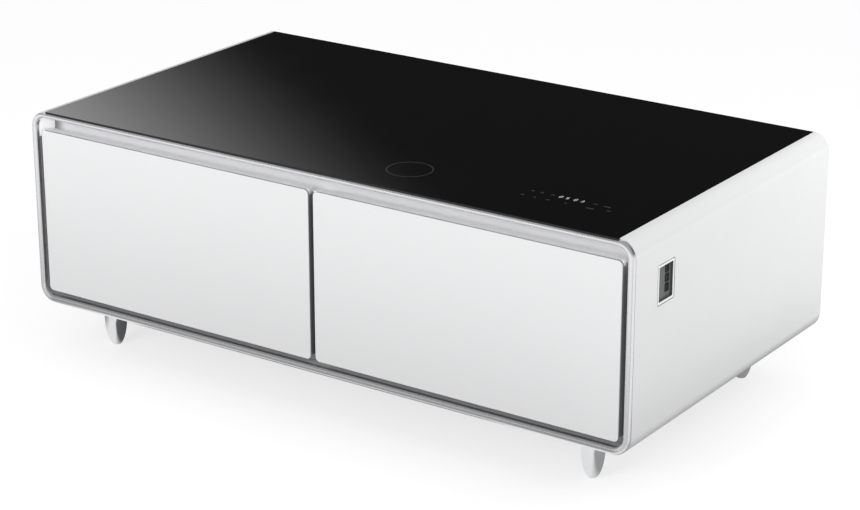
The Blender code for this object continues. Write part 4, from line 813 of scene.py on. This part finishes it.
def screw_head(radius):
    """A pan head with a cross recess, facing the back."""
    height = 0.0013
    loops = []
    for reach, rise in ((1, 0), (1, 0.35), (0.86, 0.8), (0.55, 1)):
        loops.append([(a, b, height * rise) for a, b in arc(0, 0, radius * reach, 0, 360, 16)[:-1]])
    for reach, half, rise in ((0.5, 0.12, 1), (0.34, 0.09, 0.35)):
        loops.append([(a, b, height * rise) for a, b in cross_outline(radius * reach, radius * half)])
    bm = join_loops(bmesh.new(), loops)
    turn = Vector((0, 1, 0)).to_track_quat("Z", "Y").to_matrix().to_4x4()
    bmesh.ops.transform(bm, matrix=turn, verts=bm.verts)
    return bm


def colour_of(name, description, default):
    return bpy.props.FloatVectorProperty(
        name=name, description=description, subtype="COLOR", min=0, max=1, default=default
    )


def size_of(name, description, default, unit="LENGTH"):
    return bpy.props.FloatProperty(name=name, description=description, unit=unit, default=default)


class TableSettings(bpy.types.PropertyGroup):
    """Sizes and colours that a user would change."""

    shell_colour: colour_of("Shell colour", "Enamel of the body", (0.80, 0.803, 0.81))
    drawer_colour: colour_of("Drawer colour", "Back paint of the drawer glass", (0.79, 0.793, 0.80))
    glass_colour: colour_of("Top colour", "Back paint of the top glass", (0.004, 0.004, 0.0045))
    aluminium_colour: colour_of("Aluminium colour", "Bead round the front edge", (0.84, 0.84, 0.86))
    channel_colour: colour_of("Channel colour", "Finger channel and handle rails", (0.96, 0.96, 0.975))
    plastic_colour: colour_of("Plastic colour", "Bins, liners and corner caps", (0.80, 0.81, 0.82))
    ring_diameter: size_of("Ring diameter", "Printed ring over the charger", 0.083)
    ring_width: size_of("Ring width", "Line width of the printed ring", 0.0015)
    digit_height: size_of("Digit height", "Height of the lit digits", 0.0085)
    trim_face: size_of("Trim face", "Width of the bead at the top and sides", 0.0112)
    trim_bottom_face: size_of("Trim bottom face", "Width of the bead's bottom run", 0.0143)
    glass_rise: size_of("Glass rise", "How far the top glass stands above the bead", 0.003)
    foot_radius: size_of("Foot radius", "Half the width of a foot's neck", 0.0215)
    cap_length: size_of("Corner cap length", "Cap at a drawer front's bottom corner", 0.011)
    cap_height: size_of("Corner cap height", "Cap at a drawer front's bottom corner", 0.008)
    screw_radius: size_of("Screw radius", "Head of a rear cover screw", 0.0036)
    screw_columns: bpy.props.IntProperty(
        name="Screws along", description="Screws along each long edge of the rear cover", default=6, min=2
    )
    wire_pitch: size_of("Wire pitch", "Distance between condenser wires", 0.0075)
    wire_radius: size_of("Wire radius", "Half the thickness of a condenser wire", 0.0007)
    floor_size: size_of("Floor size", "Side of the studio floor", 60)
    key_power: size_of("Key light", "Power of the soft box in front", 50, "POWER")
    fill_power: size_of("Fill light", "Power of the soft box on the right", 9, "POWER")


class TABLE_OT_cabinet(bpy.types.Operator):
    """Finishes the shell, trim, channel, front frame and liners"""

    bl_idname = "table.cabinet"
    bl_label = "Cabinet"

    def execute(self, context):
        finished("outer_shell", enamel)
        self.make_trim()
        finished("finger_channel", channel_aluminium)
        finished("front_frame", light_plastic)
        for side in ("left", "right"):
            finished(side + "_liner", liner_plastic)
            finished("channel_end_cap_" + side, channel_cap_plastic)
            finished(side + "_evaporator_coil", copper)
        finished("foam_insulation", foam)
        finished("bulkhead_panel", zinc_steel)
        finished("rear_cover", black_steel)
        return {"FINISHED"}

    def make_trim(self):
        """The bead round the front edge, with a soft inner lip and a wider bottom run."""
        sizes = settings()
        corner = trim_high.x - glass_high.x
        top_corner_z = trim_high.z - corner
        loops = []
        for inset, depth, sink in self.trim_section():
            rise = inset * sizes.trim_bottom_face / sizes.trim_face
            centre_z = (trim_low.z + rise + corner - inset, top_corner_z)
            loop = []
            for out, z, start in ((1, 1, 0), (-1, 1, 90), (-1, 0, 180), (1, 0, 270)):
                loop += arc(out * glass_high.x, centre_z[z], corner - inset, start, start + 90, 12)
            points = []
            for a, b in loop:
                # The sunk top run comes up to full height in the corners
                share = min(1, max(0, (trim_high.x - 0.6 * corner - abs(a)) / (0.4 * corner)))
                points.append((a, trim_low.y + depth, b - sink * share * (b > top_corner_z)))
            loops.append(points)
        bm = join_loops(bmesh.new(), loops, ring=True)
        trim = new_piece("front_trim_look", bm, trim_aluminium(), body_of("front_trim"))
        self.cut_ledge(trim)
        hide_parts("front_trim")

    def trim_section(self):
        """The bead's section: inset, depth, and how far the top run is sunk there to bare the glass."""
        sizes = settings()
        crown = 0.005
        lip = 0.0045
        groove_width = 0.0012
        groove_depth = 0.002
        face = sizes.trim_face
        deep = trim_high.y - trim_low.y
        points = [(0, deep - groove_width)]
        points += arc(crown, crown, crown, 180, 270, 8)
        points += arc(face - lip, lip, lip, 270, 360, 8)
        points += [(face, deep), (groove_depth, deep), (groove_depth, deep - groove_width)]
        section = []
        for inset, depth in points:
            sink = sizes.glass_rise * max(0, 1 - inset / crown) if depth < deep else 0
            section.append((inset, depth, sink))
        return section

    def cut_ledge(self, trim):
        """Cuts the room for the glass out of the bead's top run."""
        over = 0.01
        gap = Vector((fit_gap, fit_gap, fit_gap))
        high = (glass_high.x + fit_gap, trim_high.y + over, trim_high.z + over)
        cutter = mesh_object("glass_ledge", add_block(bmesh.new(), glass_low - gap, high))
        ledge = trim.modifiers.new("ledge", "BOOLEAN")
        ledge.operation = "DIFFERENCE"
        ledge.solver = "EXACT"
        ledge.object = cutter
        plain_mesh(trim)
        bpy.data.objects.remove(cutter)


def add_digit(bm, figure, left, low, height):
    """One slanted figure of bars: a at the top, then b to f clockwise, and g across the middle."""
    wide = height * 0.60
    bar = height * 0.13
    gap = bar * 0.12
    lean = 0.12
    half = height / 2
    bars = {
        "a": (bar, height - bar, wide - bar, height),
        "g": (bar, half - bar / 2, wide - bar, half + bar / 2),
        "d": (bar, 0, wide - bar, bar),
        "f": (0, half, bar, height - bar / 2),
        "b": (wide - bar, half, wide, height - bar / 2),
        "e": (0, bar / 2, bar, half),
        "c": (wide - bar, bar / 2, wide, half),
    }
    lit = {"0": "abcdef", "3": "abgcd", "5": "afgcd"}
    for name in lit[figure]:
        low_a, low_b, high_a, high_b = bars[name]
        corners = rectangle(low_a + gap, low_b + gap, high_a - gap, high_b - gap)
        join_loops(bm, [[(left + a + lean * b, low + b, z) for a, b in corners] for z in mark_levels])


class TABLE_OT_glass(bpy.types.Operator):
    """Makes the black top glass and what shows through it"""

    bl_idname = "table.glass"
    bl_label = "Glass top"

    def execute(self, context):
        self.make_glass()
        self.make_ring()
        self.make_digits()
        self.make_icons()
        finished("display_module", dark_plastic)
        finished("wireless_charger", dark_plastic)
        return {"FINISHED"}

    def make_glass(self):
        """The sheet, a hair below the printed marks, with a rounded arris."""
        top = glass_high.z - skin
        arris = 0.0006
        levels = [(0, glass_low.z), (0, top - arris)]
        levels += [(arris * 0.12, top - arris * 0.84), (arris * 0.84, top - arris * 0.12), (arris, top)]
        loops = []
        for inset, z in levels:
            low = (glass_low.x + inset, glass_low.y + inset)
            high = (glass_high.x - inset, glass_high.y - inset)
            loops.append([(a, b, z) for a, b in rectangle(*low, *high)])
        bm = join_loops(bmesh.new(), loops)
        piece = new_piece("glass_top_look", bm, black_glass(), "cabinet")
        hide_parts("glass_top")

    def make_ring(self):
        """The printed ring, a little to the right and in front of the charger's middle."""
        sizes = settings()
        aside = Vector((0.0070, -0.0055, 0))
        middle = (charger_low + charger_high) / 2 + aside
        bm = add_band(bmesh.new(), middle, sizes.ring_diameter / 2, sizes.ring_width)
        new_piece("charger_ring", bm, faint_print(), "cabinet")

    def make_digits(self):
        """Four lit figures, in two pairs."""
        height = settings().digit_height
        pitch = height * 1.548
        pair_gap = height * 0.301
        first_x = display_low.x + 0.073
        base_y = display_low.y + 0.0455
        bm = bmesh.new()
        for index, figure in enumerate("0503"):
            left = first_x + index * pitch + (pair_gap if index > 1 else 0)
            add_digit(bm, figure, left, base_y, height)
        new_piece("display_digits", bm, lit_digits(), "cabinet")

    def make_icons(self):
        """Three small switch signs and eight short rows of plain marks."""
        low_z, high_z = mark_levels
        across = display_high.x - display_low.x
        bm = bmesh.new()
        radius = 0.0028
        line = 0.0006
        stem = 0.003
        y = display_low.y + 0.050
        for share in (0.10, 0.19, 0.30):
            x = display_low.x + share * across
            add_band(bm, (x, y), radius, line, -60, 240, 20)
            add_block(bm, (x - line / 2, y, low_z), (x + line / 2, y + stem, high_z))
        rows = ((0.08, 0.024, 4), (0.20, 0.024, 3), (0.33, 0.024, 4), (0.72, 0.050, 5))
        rows += ((0.84, 0.048, 8), (0.50, 0.026, 3), (0.74, 0.026, 9), (0.90, 0.032, 4))
        pitch = 0.0016
        wide = 0.0010
        for share, up, count in rows:
            for index in range(count):
                x = display_low.x + share * across + (index - count / 2) * pitch
                y = display_low.y + up
                tall = 0.0009 if index % 3 else 0.0013
                add_block(bm, (x, y - tall, low_z), (x + wide, y + tall, high_z))
        new_piece("display_icons", bm, icon_print(), "cabinet")


class TABLE_OT_drawers(bpy.types.Operator):
    """Finishes both drawers, their runners and the caps at their corners"""

    bl_idname = "table.drawers"
    bl_label = "Drawers"

    def execute(self, context):
        looks = {
            "handle_rail": (rail_aluminium, "satin_aluminium"),
            "end_cap_left": (bright_plastic, "white_plastic"),
            "end_cap_right": (bright_plastic, "white_plastic"),
            "panel": (grey_plastic, "grey_plastic"),
            "gasket": (pale_rubber, "seal_rubber"),
            "bin": (liner_plastic, "white_plastic"),
            "carriage": (zinc_steel, "zinc_steel"),
            "glass": (white_glass, "drawer_glass"),
        }
        for side in ("left", "right"):
            for word, (finish, slot) in looks.items():
                finished(f"{side}_drawer_{word}", finish)
            for end in ("left", "right"):
                finished(f"{side}_drawer_fixed_runner_{end}", zinc_steel)
                finished(f"{side}_drawer_middle_runner_{end}", zinc_steel)
                self.make_corner_cap(side, end)
        return {"FINISHED"}

    def make_corner_cap(self, side, end):
        """A white cap in the notch at a bottom corner of a drawer front."""
        sizes = settings()
        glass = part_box(side + "_drawer_glass")
        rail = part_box(side + "_drawer_handle_rail")
        out = 1 if end == "right" else -1
        corner_x = glass[1].x if out > 0 else glass[0].x
        radius = 0.009
        rest = radius - fit_gap
        tilt = math.degrees(math.asin((radius - sizes.cap_height) / rest))
        outline = arc(-radius, radius, rest, -90, -tilt, 8)
        outline += [(-sizes.cap_length, sizes.cap_height), (-sizes.cap_length, fit_gap)]
        soft = 0.0015
        loops = []
        for depth, shrink in ((rail[0].y, 0), (rail[1].y - soft, 0), (rail[1].y, soft / 2)):
            loop = []
            for a, b in outline:
                near = a + (shrink if a < -sizes.cap_length / 2 else -shrink)
                up = b + (shrink if b < sizes.cap_height / 2 else -shrink)
                loop.append((corner_x + out * near, depth, glass[0].z + up))
            loops.append(loop)
        bm = join_loops(bmesh.new(), loops)
        name = f"{side}_drawer_corner_cap_{end}"
        new_piece(name, bm, white_plastic(), side + "_drawer")


class TABLE_OT_feet(bpy.types.Operator):
    """Finishes the chromed feet and the bar that ties the front pair"""

    bl_idname = "table.feet"
    bl_label = "Feet"

    def execute(self, context):
        for place in ("front_left", "front_right", "rear_left", "rear_right"):
            self.make_foot("foot_" + place)
        finished("front_foot_rail", zinc_steel)
        return {"FINISHED"}

    def make_foot(self, node):
        """A turned foot: a flat tip, a long round and a straight neck under its stud."""
        neck = settings().foot_radius
        low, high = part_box(node)
        centre = (low + high) / 2
        inward = 0.003
        front_forward = 0.006
        rear_forward = 0.0042
        if centre.y < 0:
            centre.x += inward if centre.x < 0 else -inward
            centre.y -= front_forward
        else:
            centre.y -= rear_forward
        tip = 0.0085
        round_height = 0.060
        stud = 0.005
        neck_top = trim_low.z - fit_gap
        slope = math.degrees(math.acos(tip / neck))
        lift = round_height * math.sin(math.radians(slope))
        outline = [(0, 0)]
        steps = 16
        for step in range(steps + 1):
            angle = math.radians(slope * (step / steps - 1))
            outline.append((neck * math.cos(angle), lift + round_height * math.sin(angle)))
        outline += [(neck, neck_top), (stud, neck_top), (stud, high.z), (0, high.z)]
        bm = bmesh.new()
        points = [bm.verts.new((radius, 0, z)) for radius, z in outline]
        edges = [bm.edges.new(pair) for pair in zip(points, points[1:])]
        turn = {"axis": (0, 0, 1), "cent": (0, 0, 0), "angle": math.tau, "steps": 64}
        bmesh.ops.spin(bm, geom=points + edges, use_merge=True, **turn)
        bmesh.ops.remove_doubles(bm, verts=bm.verts, dist=weld_distance)
        bmesh.ops.translate(bm, verts=bm.verts, vec=(centre.x, centre.y, 0))
        foot = new_piece(node + "_look", bm, chrome(), body_of(node))
        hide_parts(node)


class TABLE_OT_socket(bpy.types.Operator):
    """Finishes the socket panel and adds a dark ring as painted shadow round its bezel, and its surrounds
    and contacts
    """

    bl_idname = "table.socket"
    bl_label = "Socket panel"

    def execute(self, context):
        finished("socket_bezel", bezel_plastic)
        finished("socket_module", socket_plastic, self.raise_floor)
        floor_x = bezel_high.x + fit_gap - panel_recess
        first_z = bezel_middle.z + port_rise - port_pitch
        first = Vector((floor_x, bezel_middle.y + port_offset, first_z))
        self.make_gap_shadow()
        self.make_surrounds(first)
        self.make_contacts(first)
        return {"FINISHED"}

    def raise_floor(self, bm):
        """Brings the panel's floor nearer the bezel, and its ports nearer the panel's rear edge."""
        solid_offset = 0.007
        solid_recess = 0.0075
        reach = 0.004
        slack = 0.00002
        ports_y = bezel_middle.y + solid_offset
        floor_x = bezel_high.x + fit_gap - solid_recess
        for vertex in bm.verts:
            inside = socket_low.x + slack < vertex.co.x < socket_high.x - slack
            if inside and abs(vertex.co.y - ports_y) < reach:
                vertex.co.y += port_offset - solid_offset
            if inside and vertex.co.x > floor_x - slack:
                vertex.co.x += solid_recess - panel_recess

    def make_gap_shadow(self):
        """A thin dark ring round the bezel: painted shadow of the gap between the bezel and the shell."""
        wide = Vector((0.0008, 0.0008))
        tuck = Vector((0.0002, 0.0002))
        outer = (bezel_low.yz - tuck, bezel_high.yz + tuck)
        inner = (bezel_low.yz + wide, bezel_high.yz - wide)
        back_x = bezel_high.x + skin / 4
        face_x = shell_high.x - skin
        loops = []
        for (low, high), x in ((outer, back_x), (outer, face_x), (inner, face_x), (inner, back_x)):
            loops.append([(x, a, b) for a, b in rectangle(*low, *high)])
        bm = join_loops(bmesh.new(), loops, ring=True)
        new_piece("bezel_seal", bm, black_rubber(), "cabinet")

    def make_surrounds(self, first):
        """A raised black surround with soft corners round each port."""
        profile = (
            (0.0063, 0.0073, 0.0009, 0),
            (0.0063, 0.0073, 0.0009, 0.0006),
            (0.0060, 0.0071, 0.0009, 0.0009),
            (0.0030, 0.0067, 0.0003, 0.0009),
            (0.0028, 0.00655, 0.0003, 0.0006),
            (0.0028, 0.00655, 0.0003, 0),
        )
        loops = []
        for wide, tall, cut, out in profile:
            side = ((wide - cut, -tall), (wide, cut - tall), (wide, tall - cut), (wide - cut, tall))
            loops.append([(out, a, b) for a, b in side] + [(out, -a, b) for a, b in reversed(side)])
        bm = join_loops(bmesh.new(), loops, ring=True)
        repeat("port_surrounds", bm, black_rubber(), first, (port_count, (0, 0, port_pitch)))

    def make_contacts(self, first):
        """Four gilt strips on the tongue in each port."""
        thickness = 0.0001
        pitch = 0.0020
        bm = add_block(bmesh.new(), (-0.0085, 0, -0.0006), (-0.0010, thickness, 0.0006))
        start = first + Vector((0, thickness, -1.5 * pitch))
        ports = (port_count, (0, 0, port_pitch))
        repeat("port_contacts", bm, gold(), start, (4, (0, 0, pitch)), ports)


class TABLE_OT_machine(bpy.types.Operator):
    """Finishes the machine compartment and its wires"""

    bl_idname = "table.machine"
    bl_label = "Machine compartment"

    def execute(self, context):
        looks = {
            "base_pan": (zinc_steel, "zinc_steel"),
            "compressor_mount": (black_rubber, "mount_rubber"),
            "compressor": (black_steel, "black_steel"),
            "terminal_cover": (grey_plastic, "grey_plastic"),
            "fan_frame": (dark_plastic, "dark_plastic"),
            "fan_rotor": (dark_plastic, "dark_plastic"),
            "condenser": (black_steel, "black_steel"),
            "filter_drier": (copper, "copper"),
            "suction_pipe": (copper, "copper"),
            "capillary_tube": (copper, "copper"),
            "control_box": (grey_plastic, "grey_plastic"),
            "control_board": (circuit_board, "circuit_board"),
            "power_inlet": (inlet_plastic, "dark_plastic"),
        }
        for node, (finish, slot) in looks.items():
            finished(node, finish)
        self.make_wires()
        return {"FINISHED"}

    def make_wires(self):
        """Upright wires over the condenser's level runs."""
        sizes = settings()
        bottom_inset, top_inset = 0.021, 0.006
        low_z = condenser_low.z + bottom_inset
        high_z = condenser_high.z - top_inset
        left, right = -0.150, 0.130
        count = int((right - left) / sizes.wire_pitch) + 1
        ring = arc(0, 0, sizes.wire_radius, 0, 360, 8)[:-1]
        bm = join_loops(bmesh.new(), [[(a, b, z) for a, b in ring] for z in (0, high_z - low_z)])
        start = (left, condenser_high.y + sizes.wire_radius, low_z)
        repeat("condenser_wires", bm, black_steel(), start, (count, (sizes.wire_pitch, 0, 0)))


class TABLE_OT_screws(bpy.types.Operator):
    """Adds the screws of the rear cover and of the mains inlet"""

    bl_idname = "table.screws"
    bl_label = "Rear screws"

    def execute(self, context):
        sizes = settings()
        inset = 0.007
        end_inset = 0.045
        start = (cover_low.x + end_inset, cover_high.y, cover_low.z + inset)
        span = cover_high.x - cover_low.x - 2 * end_inset
        rise = cover_high.z - cover_low.z - 2 * inset
        along = (sizes.screw_columns, (span / (sizes.screw_columns - 1), 0, 0))
        head = screw_head(sizes.screw_radius)
        repeat("rear_cover_screws", head, screw_steel(), start, along, (2, (0, 0, rise)))
        lug = 0.0055
        across = inlet_high.x - inlet_low.x - 2 * lug
        start = (inlet_low.x + lug, cover_high.y, (inlet_low.z + inlet_high.z) / 2)
        head = screw_head(sizes.screw_radius * 0.75)
        repeat("inlet_screws", head, screw_steel(), start, (2, (across, 0, 0)))
        return {"FINISHED"}


class TABLE_OT_stage(bpy.types.Operator):
    """Sets the floor, the soft studio light and the camera"""

    bl_idname = "table.stage"
    bl_label = "Stage"

    def execute(self, context):
        sizes = settings()
        bm = bmesh.new()
        bmesh.ops.create_grid(bm, x_segments=1, y_segments=1, size=sizes.floor_size / 2)
        mesh_object("floor", bm, studio_floor())
        self.make_world(context.scene)
        self.add_lamp("key", (-0.6, -3.4, 1.5), (1.8, 1.2), sizes.key_power)
        self.add_lamp("right_fill", (2.4, -2.4, 1.4), (1.2, 1.0), sizes.fill_power)
        self.add_lamp("rear_fill", (1.7, 1.1, 1.2), (1.0, 1.0), sizes.fill_power * 1.6)
        self.make_camera(context.scene)
        context.scene.view_settings.view_transform = "Standard"
        return {"FINISHED"}

    def make_world(self, scene):
        """White behind the object, a bright ceiling, and a soft card that the top glass mirrors."""
        world = bpy.data.worlds.new("studio")
        world.use_nodes = True
        scene.world = world
        surface = Surface(world.node_tree)
        x, y, z = [surface.axis(letter, "Generated") for letter in "XYZ"]
        # Mirrored from behind the table: a sloping card that ends at the dim ceiling
        ceiling = z.rise(0.42, 0.62)
        slope = (z - x - 0.855).larger(0)
        card = (slope * slope * 144).smaller(1.3) * (1 - ceiling)
        behind = card.larger(ceiling * 0.33) + 0.02
        # Mirrored from before it: bright down at the horizon
        before = (1 - z.rise(0.0, 0.28)).spread(0.33, 0.90)
        turn = y.rise(0.15, 0.40)
        mirrored = behind * turn + before * (1 - turn)
        lit = z.rise(-0.1, 0.9).spread(0.60, 0.80)
        seen = surface.node("ShaderNodeLightPath", output="Is Camera Ray")
        gloss = surface.node("ShaderNodeLightPath", output="Is Glossy Ray")
        number = {"data_type": "FLOAT"}
        shade = surface.node("ShaderNodeMix", number, {0: gloss, 2: lit, 3: mirrored})
        shown = surface.node("ShaderNodeMix", number, {0: seen, 2: shade, 3: 1.0})
        back = surface.node("ShaderNodeBackground", {}, {"Color": (1, 1, 1, 1), "Strength": shown})
        surface.node("ShaderNodeOutputWorld", {}, {"Surface": back})

    def add_lamp(self, name, place, size, power):
        """A soft box that faces the table and isn't seen itself, nor mirrored."""
        lamp = bpy.data.lights.new(name, "AREA")
        lamp.shape = "RECTANGLE"
        lamp.size, lamp.size_y = size
        lamp.energy = power
        holder = placed(name, lamp)
        holder.location = place
        aim = Vector((0, 0, 0.25)) - holder.location
        holder.rotation_euler = aim.to_track_quat("-Z", "Y").to_euler()
        holder.visible_camera = False
        holder.visible_glossy = False

    def make_camera(self, scene):
        """The camera at the photo's own place."""
        lens = bpy.data.cameras.new("camera")
        lens.sensor_width = 36.0
        lens.lens = 106.2
        lens.shift_y = -0.0014
        camera = placed("camera", lens)
        camera.location = (2.5378, -3.6706, 1.8457)
        camera.rotation_euler = [math.radians(angle) for angle in (69.894, 0.035, 34.504)]
        scene.camera = camera


class TABLE_PT_sidebar(bpy.types.Panel):
    """Lists the pieces of the table in the sidebar"""

    bl_label = "Refrigerator coffee table"
    bl_idname = "TABLE_PT_sidebar"
    bl_space_type = "VIEW_3D"
    bl_region_type = "UI"
    bl_category = "Table"

    def draw(self, context):
        for name in TableSettings.__annotations__:
            self.layout.prop(settings(), name)
        for operator in piece_operators:
            self.layout.operator(operator.bl_idname)


piece_operators = (
    TABLE_OT_cabinet,
    TABLE_OT_glass,
    TABLE_OT_drawers,
    TABLE_OT_feet,
    TABLE_OT_socket,
    TABLE_OT_machine,
    TABLE_OT_screws,
    TABLE_OT_stage,
)


def register():
    for kind in (TableSettings, *piece_operators, TABLE_PT_sidebar):
        bpy.utils.register_class(kind)
    bpy.types.Scene.coffee_table = bpy.props.PointerProperty(type=TableSettings)


def unregister():
    del bpy.types.Scene.coffee_table
    for kind in (TABLE_PT_sidebar, *reversed(piece_operators), TableSettings):
        bpy.utils.unregister_class(kind)


def main():
    register()
    for operator in piece_operators:
        area, name = operator.bl_idname.split(".")
        getattr(getattr(bpy.ops, area), name)()


if __name__ == "__main__":
    main()
